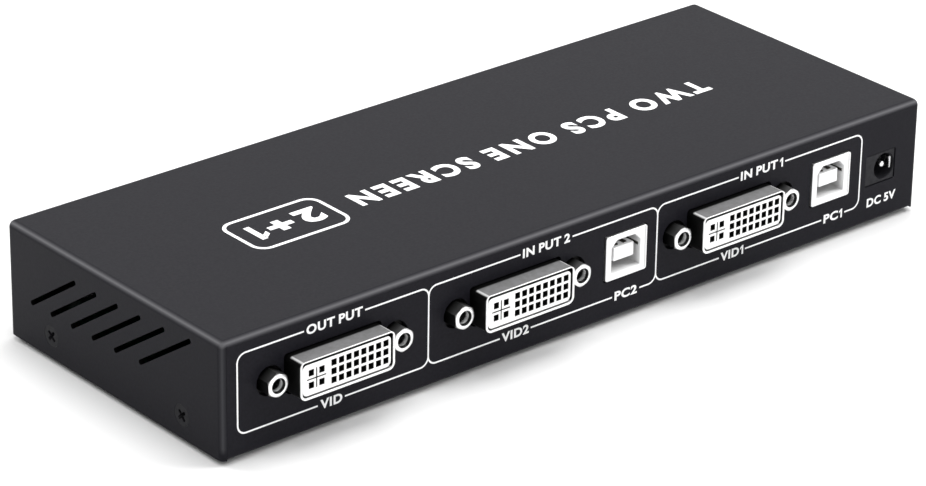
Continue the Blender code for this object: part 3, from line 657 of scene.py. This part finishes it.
def make_white_painted_shade(name, face, dark, white, reach):
    """White plastic with painted shade in its holes and on its sides, deepening within a stated reach behind
    its face.
    """
    finish, tree, shader = start_finish(name, specular=0.3)
    mottle = spread(tree, grain(tree, 900, 3.0), 0.0, 1.0)
    lit = shade(tree, mottle, [value * 0.96 for value in white], white)
    # Painted shade: darker with depth behind the face.
    depth = spread(tree, along(tree, "Y"), 0.0, 1.0, face - reach, face - reach * 0.08)
    feed(tree, shader, shade(tree, depth, [dark] * 3, lit), 500, 0.40, 0.50)
    dimple(tree, shader, grain(tree, 2200), 0.000005, 0.3)
    return finish


recess, pin_reach = 0.00014, 0.00014
insert_face = shell_high.y - recess
# The pin block has painted shade in its pin holes and in the gap round it.
pin_white = make_white_painted_shade("white_plastic_pin_block_painted_shade", insert_face, 0.006, (0.95, 0.95, 0.94), pin_reach)
block_low, block_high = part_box("dvi_output_insulator")
block_front, block_tall, block_corner = 0.0354, 0.0106, 0.0006
insert_x, insert_z = (-0.01137, 0.01175), (-0.00352, 0.00358)
insert_low_corner, insert_top_corner = 0.0012, 0.0010
insert = slab("dvi_output_insert", socket_middle, insert_x, (block_front - 0.001, insert_face), insert_z)
round_run(insert, 1, insert_low_corner, 7, lambda point: point.z < socket_middle.z)
round_run(insert, 1, insert_top_corner, 6, lambda point: point.z > socket_middle.z)
rear_block = block("rear_block", block_low, (block_high.x, block_front, block_low.z + block_tall))
round_run(rear_block, 1, block_corner, 3)
combine(insert, [rear_block], "UNION")

pin_pitch, row_pitch, first_pin_x = 0.001955, 0.00202, 0.00362
hole_wide, hole_tall, hole_deep, chamfer = 0.00138, 0.00146, 0.0032, 0.00003
cross_x, cross_wide, cross_tall, cross_slot = 0.00815, 0.0050, 0.0046, 0.0003
beside_cross, above_cross = 0.00137, 0.00142
pin_middle = Vector((socket_middle.x, insert_face, socket_middle.z + 0.0001))
hole_places = [(first_pin_x - pin_pitch * i, row_pitch * row) for i in range(8) for row in (1, 0, -1)]
hole_places += [(cross_x + sx * beside_cross, sz * above_cross) for sx in (-1, 1) for sz in (-1, 1)]
hole_places = [pin_middle + Vector((x, 0, z)) for x, z in hole_places]


def slot_punch(name, width, height):
    """A square punch that starts at the insert's face, flared at the mouth."""
    punch = block(name, (-width / 2, -hole_deep, -height / 2), (width / 2, -chamfer, height / 2))
    open_mesh(punch)
    pick("FACE", lambda face: face.normal.y > 0.9)
    draw_out((0, 2 * chamfer, 0))
    flare = (1 + 4 * chamfer / width, 1, 1 + 4 * chamfer / height)
    bpy.ops.transform.resize(value=flare, center_override=(0, chamfer, 0))
    close_mesh()
    return punch


punch = slot_punch("pin_punch", hole_wide, hole_tall)
combine(insert, [repeat(punch, "pin_punch", place) for place in hole_places])
discard(punch)
for width, height in ((cross_wide, cross_slot), (cross_slot, cross_tall)):
    punch = slot_punch("cross_punch", width, height)
    punch.data.transform(Matrix.Translation(pin_middle + Vector((cross_x, 0, 0))))
    combine(insert, [punch])
bores, bore_end = [], 0.0275
for x in jackscrew_xs:
    start, stop = (x, bore_end, socket_middle.z), (x, block_front + 0.002, socket_middle.z)
    bores.append(rod("bore", start, stop, bore_radius))
combine(insert, bores)
soften(insert, 0.00005, 1, 50)


# Video sockets: contacts ------------------------------------------------------
# Inside every square hole sits one sprung contact of bronze, coloured dark as painted shade, a narrow
# leaf that is pressed from strip and stepped down at its tip.

# Bronze coloured very dark: painted shade deep in the holes.
bronze_painted_shade = make_plain_finish(
    "bronze_painted_shade", (0.035, 0.032, 0.028), (0.070, 0.062, 0.050), (0.35, 0.5), 1500, 0.000005, 0.8)
leaf = block("leaf", (-0.00030, -0.0031, 0.00030), (0.00030, -0.0018, 0.00042))
open_mesh(leaf)
pick("FACE", lambda face: face.normal.y > 0.9)
draw_out((0, 0.00035, -0.00018))
bpy.ops.transform.resize(value=(0.8, 1, 1), center_override=(0, 0, 0))
draw_out((0, 0.00012, 0.00010))
close_mesh()
contacts = join(*[repeat(leaf, "leaf", place) for place in hole_places])
discard(leaf)
contacts.name = "dvi_output_contacts"
soften(contacts, 0.00002, 1, 50)


# Video sockets: jackscrews ----------------------------------------------------
# A plug's two thumbscrews thread into these hexagonal standoffs, turned from plated steel bar: the front
# corners are chamfered to a round face, and the hole is threaded.

# The standoff's nickel body is coloured near black as painted shade, and its nose gets a painted highlight.
standoff_nickel = make_nickel_painted_light("nickel_standoff_painted_light", 0.9, 0.0372, 0.0400, 0.041, 0.05, 0.03)
seat, nose = shell_low.y + 0.0011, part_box("dvi_output_jackscrew_near")[1].y
tall = nose - seat


def make_thread_nickel():
    """Nickel in a threaded hole: painted shade on the lead-in, bright first turns, then painted shade deeper
    in.
    """
    finish, tree, shader = start_finish("nickel_thread_painted_shade", metal=0.8)
    depth = along(tree, "Y")
    # Painted shade: a dark ring on the lead-in, and darkness deeper in the hole.
    lead_in = spread(tree, depth, 0.0, 1.0, nose - 0.0006, nose - 0.0005)
    deep = spread(tree, depth, 0.0, 1.0, nose - 0.0018, nose - 0.0011)
    turns = shade(tree, deep, (0.02, 0.02, 0.02), (0.92, 0.92, 0.92))
    feed(tree, shader, shade(tree, lead_in, turns, (0.01, 0.01, 0.01)), 700, 0.25, 0.35)
    return finish


thread_nickel = make_thread_nickel()
across_flats = 0.005
hexagon = rod("dvi_output_jackscrew", (0, 0, 0), (0, 0, tall), across_flats / math.sqrt(3), 6)
blank_steps = [(0.0030, -0.001), (0.0030, tall - 0.00045), (0.00228, tall - 0.00003), (0.00222, tall)]
combine(hexagon, [turned("blank", blank_steps, 64)], "INTERSECT")
shank_steps = [(0.0010, -0.0048), (0.00125, -0.0045), (0.00125, 0.0005)]
combine(hexagon, [turned("shank", shank_steps, 32)], "UNION")
thread_radius, thread_deep, thread_pitch, thread_count = 0.00138, 0.00016, 0.00045, 6
lead_in_wide, lead_in_deep = 0.00042, 0.00055
thread_steps = [(0.0009, tall - thread_pitch * thread_count - 0.0003)]
for i in range(thread_count):
    bottom = tall - lead_in_deep - thread_pitch * (thread_count - i)
    thread_steps += [(thread_radius, bottom), (thread_radius + thread_deep, bottom + thread_pitch / 2)]
thread_steps += [(thread_radius, tall - lead_in_deep), (thread_radius + lead_in_wide, tall + 0.0001)]
combine(hexagon, [turned("thread", thread_steps, 32)])
soften(hexagon, 0.00006, 2, 28)


def fit_socket(socket, shift, models):
    """Fits one socket's pieces: the modelled ones at their own socket, and copies at the others."""
    for model, ending, finish, slot, node in models:
        name = f"{socket}_{ending}"
        piece = model if model.name == name else repeat(model, name, shift)
        fit(piece, finish, slot, *([f"{socket}_{node}"] if node else []))


for socket in ("dvi_output", "dvi_input_2", "dvi_input_1"):
    fit_socket(socket, middle_of(f"{socket}_shell") - socket_middle, (
        (shroud, "shroud", shroud_nickel, "plated_steel", "shell"),
        (insert, "insert", pin_white, "white_plastic", "insulator"),
        (contacts, "contacts", bronze_painted_shade, "gold_contact", None),
    ))
    for side, turn in (("near", 4), ("far", -6)):
        axis = middle_of(f"{socket}_jackscrew_{side}")
        piece = repeat(hexagon, f"{socket}_standoff_{side}", (0, 0, 0))
        piece.data.transform(Matrix.Rotation(math.radians(turn), 4, "Z"))
        stand(piece, (axis.x, seat, axis.z), (0, 1, 0))
        fit(piece, standoff_nickel, "plated_steel", f"{socket}_jackscrew_{side}")

        def in_thread(face):
            middle = face.calc_center_median()
            off_axis = math.hypot(middle.x - axis.x, middle.z - axis.z)
            return off_axis < thread_radius + lead_in_wide + 0.00005 and face.normal.y < 0.9

        coat_faces(piece, thread_nickel, in_thread)
discard(hexagon)


# Computer sockets on the rear -------------------------------------------------
# Two USB type B sockets: a folded can of plated steel, and a white insert whose deep opening has its two
# top corners cut off, with a spring in each side wall and a tongue that carries two contacts above and two
# below.

can_low, can_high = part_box("usb_b_2_shell")
can_middle = (can_low + can_high) / 2
can_face = can_high.y
# Painted shade on the can's sides and behind the panel, and a painted highlight on its rim.
can_nickel = make_nickel_painted_light("nickel_can_painted_light", 0.9, 0.0300, 0.0372, can_face, 0.68, 0.5, 0.86)
can_wall = 0.0004
can = block("usb_b_2_can", can_low, can_high)
round_run(can, 1, 0.0006, 5)
cavity = block(
    "cavity", (can_low.x + can_wall, can_low.y + can_wall, can_low.z + can_wall),
    (can_high.x - can_wall, can_face + beyond, can_high.z - can_wall),
)
round_run(cavity, 1, 0.0003, 3)
combine(can, [cavity])
soften(can, 0.00012, 3)

snug = can_wall - 0.00005
usb_insert = block(
    "usb_b_2_insert", (can_low.x + snug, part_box("usb_b_2_insulator")[0].y, can_low.z + snug),
    (can_high.x - snug, can_face - 0.00022, can_high.z - snug),
)
half_wide, half_tall, cut_corner, opening_deep = 0.004225, 0.00389, 0.0016, 0.009
opening = slab(
    "opening", can_middle, (-half_wide, half_wide), (can_face - opening_deep, can_face + beyond),
    (-half_tall, half_tall),
)
round_run(opening, 1, cut_corner, 1, lambda point: point.z > can_middle.z)
combine(usb_insert, [opening])
tongue_x, tongue_top = (-0.0031, 0.0027), 0.0016
tongue_y = (can_face - opening_deep - 0.0005, can_face - 0.0012)
combine(usb_insert, [slab("tongue", can_middle, tongue_x, tongue_y, (-tongue_top, tongue_top))], "UNION")


def wall_strips(name, start, stop, ys, zs):
    """A strip along each side wall of the opening, between two distances out from the opening's middle."""
    return [
        slab(name, can_middle, sorted((side * start, side * stop)), (can_face + ys[0], can_face + ys[1]), zs)
        for side in (-1, 1)
    ]


grooves = wall_strips("groove", half_wide, half_wide + 0.0006, (-0.0075, -0.0010), (0.0004, 0.0012))
combine(usb_insert, grooves)
soften(usb_insert, 0.00012, 2)
# The side springs take the dark bronze of painted shade, which stands for the shade in the wall grooves.
usb_springs = join(*wall_strips(
    "spring", half_wide + 0.0001, half_wide + 0.0004, (-0.0074, -0.0011), (0.00045, 0.00115),
))
usb_springs.name = "usb_b_2_side_springs"
soften(usb_springs, 0.00005, 2)
# Painted shade: the opening's walls and the tongue turn grey with depth.
usb_white = make_white_painted_shade("white_plastic_usb", can_face - 0.0002, 0.62, (0.93, 0.93, 0.93), 0.0016)
tongue_white = make_white_painted_shade("white_plastic_tongue_painted_shade", can_face - 0.0013, 0.25, (0.95, 0.95, 0.95), 0.0080)

# The tongue's contacts take the same dark bronze of painted shade.
strip_half_wide, strip_thick, strip_y = 0.0005, 0.00025, (can_face - 0.0085, can_face - 0.0020)
usb_contacts = join(*[
    slab("strip", can_middle, (x - strip_half_wide, x + strip_half_wide), strip_y,
         sorted((side * tongue_top, side * (tongue_top + strip_thick))))
    for x in (-0.00125, 0.00125) for side in (-1, 1)
])
usb_contacts.name = "usb_b_2_contacts"
soften(usb_contacts, 0.00008, 2)

for socket in ("usb_b_2", "usb_b_1"):
    middle = middle_of(f"{socket}_shell")
    fit_socket(socket, middle - can_middle, (
        (can, "can", can_nickel, "plated_steel", "shell"),
        (usb_insert, "insert", usb_white, "white_plastic", "insulator"),
        (usb_contacts, "contacts", bronze_painted_shade, "gold_contact", None),
        (usb_springs, "side_springs", bronze_painted_shade, "plated_steel", None),
    ))

    def on_tongue(face):
        across, deep, up = face.calc_center_median() - Vector((middle.x, can_face, middle.z))
        return abs(across + 0.0002) < 0.0030 and -0.0090 < deep < -0.0010 and abs(up) < 0.0017

    coat_faces(bpy.data.objects[f"{socket}_insert"], tongue_white, on_tongue)


# Power jack -------------------------------------------------------------------
# A black plastic barrel jack: round hole with a countersunk mouth, a plated centre pin with a rounded tip,
# and a side spring that presses on the plug's sleeve.

black_plastic = make_plain_finish(
    "black_thermoplastic", (0.011, 0.011, 0.013), (0.017, 0.017, 0.020), (0.42, 0.55), 1200, 0.00001,
    0.0, 0.14)
nickel = make_plain_finish(
    "bright_nickel", (0.70, 0.70, 0.71), (0.84, 0.84, 0.84), (0.16, 0.30), 1200, 0.000006, 1.0)
jack_low, jack_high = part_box("dc_jack_body")
jack = block("dc_jack_housing", jack_low, jack_high)
pin_low, pin_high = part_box("dc_jack_pin")
pin_x, pin_z, pin_long = (pin_low.x + pin_high.x) / 2, (pin_low.z + pin_high.z) / 2, pin_high.y - pin_low.y
bore = turned("bore", [(0.00305, -0.0095), (0.00305, -0.0003), (0.00335, 0.00015)])
combine(jack, [stand(bore, (pin_x - 0.0003, jack_high.y, pin_z), (0, 1, 0))])
soften(jack, 0.0001, 2)
fit(jack, black_plastic, "black_plastic", "dc_jack_body")

pin = turned("dc_jack_centre_pin", [
    (0.0008, 0.0), (0.0008, pin_long - 0.0006), (0.00074, pin_long - 0.00034), (0.0006, pin_long - 0.00014),
    (0.0004, pin_long - 0.00003), (0.0002, pin_long),
], 32)
stand(pin, (pin_x - 0.0006, pin_low.y + 0.0003, pin_z), (0, 1, 0))
fit(soften(pin, 0, angle=50), nickel, "plated_steel", "dc_jack_pin")

leaf_low, leaf_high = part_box("dc_jack_spring")
spring_leaf = block(
    "dc_jack_side_spring", (leaf_low.x - 0.0011, leaf_low.y, leaf_low.z),
    (leaf_high.x - 0.0012, leaf_high.y + 0.0005, leaf_high.z),
)
open_mesh(spring_leaf)
pick("FACE", lambda face: face.normal.y > 0.9)
bpy.ops.transform.translate(value=(0.0004, -0.0006, 0))
draw_out((-0.0004, 0.0006, 0))
close_mesh()
soften(spring_leaf, 0.00005, 2)
fit(spring_leaf, nickel, "plated_steel", "dc_jack_spring")


# Printed frames and labels on the rear ----------------------------------------
# Thin white ink, screen printed on the coat: three touching frames with rounded corners, one round each
# group of sockets, their lines broken where a label stands in them.

white_ink = make_plain_finish(
    "screen_ink_white", (0.86, 0.86, 0.86), (0.93, 0.93, 0.93), (0.45, 0.6), 1500, 0.00001)
panel_face, ink = 0.038, 0.00003
line_wide, line_corner = 0.00038, 0.0021
line_low, line_high = 0.00630, 0.02460
frame_edges = (0.09660, 0.04630, -0.01865, -0.08175)


def ring_of_ink(name, low, high, wide, corner):
    """A closed line of ink that lies flat in X and Y, its middle running through a rounded rectangle."""
    bpy.ops.object.select_all(action="DESELECT")
    bpy.ops.mesh.primitive_plane_add(size=1, location=((low[0] + high[0]) / 2, (low[1] + high[1]) / 2, 0))
    ring = bpy.context.object
    ring.name = name
    ring.scale = (high[0] - low[0] + wide, high[1] - low[1] + wide, 1)
    open_mesh(settle(ring))
    pick_all()
    bpy.ops.mesh.bevel(offset=corner + wide / 2, segments=8, affect="VERTICES")
    pick_all()
    bpy.ops.mesh.inset(thickness=wide)
    bpy.ops.mesh.delete(type="FACE")
    pick_all()
    draw_out((0, 0, ink))
    pick_all()
    bpy.ops.mesh.normals_make_consistent(inside=False)
    close_mesh()
    return ring


def words_of_ink(name, words, low, high, weight, spacing=1.0):
    """Letters of ink that lie flat in X and Y and just fill a rectangle. A last 1 is drawn with a flag."""
    tall, wide = high[1] - low[1], high[0] - low[0]
    numeral_wide = tall * 0.44 if words.endswith("1") else 0.0
    letters_wide = wide - numeral_wide * (1.7 if words.endswith(" 1") else 1.35)
    bpy.ops.object.select_all(action="DESELECT")
    bpy.ops.object.text_add()
    letters = bpy.context.object
    letters.name = name
    letters.data.body = words[:-1].strip() if numeral_wide else words
    letters.data.offset = weight
    letters.data.space_character = spacing
    letters.data.space_word = 0.7
    letters.data.resolution_u = 6
    letters.data.extrude = 0.02
    bpy.ops.object.convert(target="MESH")
    letters = bpy.context.object
    points = [corner.co for corner in letters.data.vertices]
    left, right = min(p.x for p in points), max(p.x for p in points)
    foot_line, head_line = min(p.y for p in points), max(p.y for p in points)
    scale = (letters_wide / (right - left), tall / (head_line - foot_line))
    for point in points:
        point.x = low[0] + (point.x - left) * scale[0]
        point.y = low[1] + (point.y - foot_line) * scale[1]
        point.z = ink if point.z > 0 else 0.0
    open_mesh(letters)
    pick_all()
    bpy.ops.mesh.remove_doubles(threshold=0.000005)
    close_mesh()
    if numeral_wide:
        stem = block("stem", (high[0] - numeral_wide * 0.48, low[1], 0), (high[0], high[1], ink))
        flag = block(
            "flag", (high[0] - numeral_wide, low[1] + tall * 0.56, 0),
            (high[0] - numeral_wide * 0.4, low[1] + tall * 0.78, ink),
        )
        open_mesh(flag)
        pick("FACE", lambda face: face.normal.x > 0.9)
        bpy.ops.transform.translate(value=(0, tall * 0.2, 0))
        close_mesh()
        letters = join(letters, stem, flag)
    return letters


on_rear = Matrix(((-1, 0, 0, 0), (0, 0, 1, panel_face), (0, 1, 0, 0), (0, 0, 0, 1)))
rings = [
    ring_of_ink(f"frame_{i}", (-left, line_low), (-right, line_high), line_wide, line_corner)
    for i, (left, right) in enumerate(zip(frame_edges, frame_edges[1:]))
]
frames = rings[0]
for ring in rings[1:]:
    combine(frames, [ring], "UNION")
frames.name = "printed_frames"
label_places = (  # words, middle, width, height up the panel, gap left in the line
    ("OUT PUT", 0.07142, 0.01475, line_high, 0.01605), ("VID", 0.07230, 0.0058, line_low, 0.00720),
    ("IN PUT 2", 0.01365, 0.01340, line_high, 0.01480), ("VID2", 0.02202, 0.0077, line_low, 0.0088),
    ("PC2", -0.0099, 0.0066, line_low, 0.0081), ("IN PUT 1", -0.05010, 0.01300, line_high, 0.01437),
    ("VID1", -0.0419, 0.0070, line_low, 0.0081), ("PC1", -0.0736, 0.0059, line_low, 0.0074),
    ("DC 5V", -0.0892, 0.0093, 0.0063, 0),
)
letter_tall, letter_weight, letter_spacing = 0.0022, 0.034, 1.1
combine(frames, [
    block("gap", (-x - gap / 2, z - 0.001, -0.001), (-x + gap / 2, z + 0.001, 0.001))
    for _, x, _, z, gap in label_places if gap
])
frames.data.transform(on_rear)
fit(frames, white_ink, "white_ink")
for words, x, wide, z, _ in label_places:
    low, high = (-x - wide / 2, z - letter_tall / 2), (-x + wide / 2, z + letter_tall / 2)
    name = "label_" + words.lower().replace(" ", "_")
    label = words_of_ink(name, words, low, high, letter_weight, letter_spacing)
    label.data.transform(on_rear)
    fit(label, white_ink, "white_ink")


# Title and badge on the top ---------------------------------------------------
# Bold white letters, screen printed to be read from the front, and a rounded frame round the ratio of
# computers to screens.

title = words_of_ink("printed_title", "TWO PCS ONE SCREEN", (-0.0669, -0.0024), (0.0366, 0.0042), 0.042, 1.36)
badge = ring_of_ink("printed_badge_frame", (0.0425, -0.00665), (0.06755, 0.00825), 0.00085, 0.0031)
ratio = words_of_ink("printed_ratio", "2+1", (0.0455, -0.0028), (0.0639, 0.0042), 0.046, 1.3)
for piece in (title, badge, ratio):
    piece.data.transform(Matrix.Translation((0, 0, cover_high.z)))
    fit(piece, white_ink, "white_ink")


# Front USB sockets ------------------------------------------------------------
# Four USB type A sockets for keyboard, mouse and two more devices: a folded can with two spring fingers
# above and two below, and a tongue with four gold contacts.

white_plastic = make_plain_finish(
    "white_thermoplastic", (0.80, 0.80, 0.79), (0.90, 0.90, 0.89), (0.36, 0.50), 900, 0.00001)
gold = make_plain_finish(
    "gold_flash", (0.72, 0.50, 0.17), (0.86, 0.63, 0.26), (0.22, 0.34), 1500, 0.000005, 1.0)
port_low, port_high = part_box("usb_a_1_shell")
port_middle = (port_low + port_high) / 2
port_x, port_face, port_wall = port_middle.x, port_low.y, 0.00035
port = block("usb_a_1_can", port_low, port_high)
round_run(port, 1, 0.0005, 4)
cavity = block(
    "cavity", (port_low.x + port_wall, port_face - beyond, port_low.z + port_wall),
    (port_high.x - port_wall, port_high.y - port_wall, port_high.z - port_wall),
)
combine(port, [cavity])
windows, fingers = [], []
for x in (port_x - 0.0032, port_x + 0.0032):
    for side in (-1, 1):
        outer = port_low.z if side < 0 else port_high.z
        z_low, z_high = sorted((outer, outer - side * port_wall))
        windows.append(block(
            "window", (x - 0.0012, port_face + 0.0022, outer - 0.0006),
            (x + 0.0012, port_face + 0.0082, outer + 0.0006),
        ))
        finger = block(
            "finger", (x - 0.0009, port_face + 0.0024, z_low), (x + 0.0009, port_face + 0.0083, z_high),
        )
        open_mesh(finger)
        pick("FACE", lambda face: face.normal.y < -0.9)
        bpy.ops.transform.translate(value=(0, 0.0006, -side * 0.0004))
        draw_out((0, -0.0006, side * 0.0003))
        close_mesh()
        fingers.append(finger)
combine(port, windows)
port = join(port, *fingers)
soften(port, 0.00006, 2)
lip_low, lip_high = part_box("usb_a_1_tongue")
lip_half_wide, lip_under, lip_over = 0.0055, 0.01355, 0.01545
lip = block(
    "usb_a_1_insert", (port_x - lip_half_wide, lip_low.y, lip_under),
    (port_x + lip_half_wide, lip_high.y, lip_over),
)
combine(lip, [block("root", (lip_low.x, lip_high.y - 0.002, lip_low.z), lip_high)], "UNION")
soften(lip, 0.0001, 2)
port_contacts = join(*[
    block(
        "strip", (port_x + x - 0.00055, lip_low.y + 0.0006, lip_under - 0.00015),
        (port_x + x + 0.00055, lip_low.y + 0.0080, lip_under + 0.00005),
    )
    for x in (-0.0035, -0.001, 0.001, 0.0035)
])
port_contacts.name = "usb_a_1_contacts"
soften(port_contacts, 0.00006, 2)
for socket in ("usb_a_1", "usb_a_2", "usb_a_3", "usb_a_4"):
    fit_socket(socket, middle_of(f"{socket}_shell") - port_middle, (
        (port, "can", nickel, "plated_steel", "shell"),
        (lip, "insert", white_plastic, "white_plastic", "tongue"),
        (port_contacts, "contacts", gold, "gold_contact", None),
    ))


# Select button ----------------------------------------------------------------
# A round black cap with a dished face stands out of the front panel. A white plunger joins it to the
# switch on the board, whose steel spring pushes both back out.

cap_low, cap_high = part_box("select_button_cap")
cap_x, cap_z, cap_tall = (cap_low.x + cap_high.x) / 2, (cap_low.z + cap_high.z) / 2, cap_high.y - cap_low.y
flange_at, flange_thick, flange_radius, cap_radius, socket_radius = 0.0047, 0.0008, 0.0040, 0.0035, 0.0017
cap = turned("select_button_face", [
    (0.0031, -cap_tall), (0.0031, -flange_at - flange_thick), (flange_radius, -flange_at - flange_thick),
    (flange_radius, -flange_at), (cap_radius, -flange_at), (cap_radius, -0.0005), (0.00345, -0.00025),
    (0.0033, -0.00008), (0.0031, 0.0), (0.0029, -0.00005), (0.0022, -0.00018), (0.0012, -0.00026),
    (0.0004, -0.00028),
], 64)
combine(cap, [rod("socket_cut", (0, 0, -cap_tall - 0.001), (0, 0, -cap_tall + 0.0032), socket_radius, 32)])
stand(cap, (cap_x, cap_low.y, cap_z), (0, -1, 0))
fit(soften(cap, 0, angle=35), black_plastic, "black_plastic", "select_button_cap", body="select_button")
for name, finish in (
    ("button_plunger", white_plastic), ("switch_housing", black_plastic),
    ("button_return_spring", zinc_plate),
):
    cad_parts[name].material_slots[0].material = finish


# Indicator lamps --------------------------------------------------------------
# Three lamps of tinted clear resin with round noses: red for power, green for whichever computer is shown.

def make_lamp_resin(name, dark, light):
    """Clear resin, tinted a little unevenly."""
    finish, tree, shader = start_finish(name)
    feed(tree, shader, shade(tree, spread(tree, grain(tree, 500), 0.0, 1.0), dark, light), 900, 0.08, 0.18)
    shader.inputs["Transmission Weight"].default_value = 0.3
    shader.inputs["IOR"].default_value = 1.5
    return finish


lamp_radius, flange_radius, nose_tall = 0.0015, 0.0018, 0.0012
red, green = ((0.45, 0.02, 0.02), (0.62, 0.05, 0.04)), ((0.04, 0.40, 0.08), (0.08, 0.55, 0.14))
for node, name, slot, tints in (
    ("lamp_power", "power_lamp_dome", "lamp_red", red),
    ("lamp_computer_1", "computer_1_lamp_dome", "lamp_green", green),
    ("lamp_computer_2", "computer_2_lamp_dome", "lamp_green", green),
):
    low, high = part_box(node)
    back = low.y - high.y
    steps = [
        (flange_radius - 0.00005, back), (flange_radius, back + 0.0001), (flange_radius, back + 0.001),
        (lamp_radius, back + 0.001),
    ]
    for angle in [math.radians(10 * i) for i in range(9)]:
        steps.append((lamp_radius * math.cos(angle), nose_tall * (math.sin(angle) - 1)))
    dome = stand(turned(name, steps, 40), ((low.x + high.x) / 2, low.y, (low.z + high.z) / 2), (0, -1, 0))
    fit(soften(dome, 0, angle=35), make_lamp_resin(f"resin_{name}", *tints), slot, node)


# Floor, light and camera ------------------------------------------------------
# A pale floor under the box, a bright even surround, and five soft square lamps: two whose reflections run
# along the folded edges of the cover, one overhead, one from beyond the front and one that fills.

floor_finish = make_plain_finish(
    "pale_floor", (0.80, 0.80, 0.80), (0.82, 0.82, 0.82), (0.8, 0.9), 6, 0.00001, specular=0.0)
bpy.ops.object.select_all(action="DESELECT")
bpy.ops.mesh.primitive_plane_add(size=8, location=(0, 0, 0))
floor = bpy.context.object
floor.name = "floor"
floor.data.materials.append(floor_finish)

world = bpy.data.worlds.new("studio")
world.use_nodes = True
surround = world.node_tree.nodes["Background"]
surround.inputs["Color"].default_value = (1, 1, 1, 1)
surround.inputs["Strength"].default_value = 0.45
bpy.context.scene.world = world


def softbox(name, toward, distance, size, power):
    """A square lamp that faces the middle of the box."""
    light = bpy.data.lights.new(name, "AREA")
    light.shape = "SQUARE"
    light.size = size
    light.energy = power
    lamp = bpy.data.objects.new(name, light)
    bpy.context.scene.collection.objects.link(lamp)
    direction = Vector(toward).normalized()
    lamp.location = direction * distance
    lamp.rotation_mode = "QUATERNION"
    lamp.rotation_quaternion = direction.to_track_quat("Z", "Y")


softbox("softbox_rear", (-0.57, 0.42, 0.70), 1.4, 0.5, 9)
softbox("softbox_front", (0.42, -0.70, 0.57), 1.4, 0.5, 8)
softbox("softbox_overhead", (-0.07, 0.0, 1.0), 1.6, 0.9, 18)
softbox("softbox_beyond", (-0.584, -0.690, 0.427), 1.3, 1.6, 7.0)
softbox("softbox_fill", (0.22, 0.87, 0.45), 1.5, 0.9, 4.5)

bpy.context.scene.view_settings.view_transform = "Standard"
camera_data = bpy.data.cameras.new("camera")
camera_data.lens = 158.51
camera_data.sensor_width = 36
camera = bpy.data.objects.new("camera", camera_data)
bpy.context.scene.collection.objects.link(camera)
azimuth, elevation, roll = math.radians(139.464), math.radians(25.326), math.radians(0.896)
back = Vector((
    math.sin(azimuth) * math.cos(elevation), -math.cos(azimuth) * math.cos(elevation), math.sin(elevation),
))
camera.location = (0.53831, 0.62406, 0.39705)
camera.rotation_mode = "QUATERNION"
camera.rotation_quaternion = back.to_track_quat("Z", "Y") @ Matrix.Rotation(roll, 4, "Z").to_quaternion()
camera_data.clip_start, camera_data.clip_end = 0.01, 20
bpy.context.scene.camera = camera
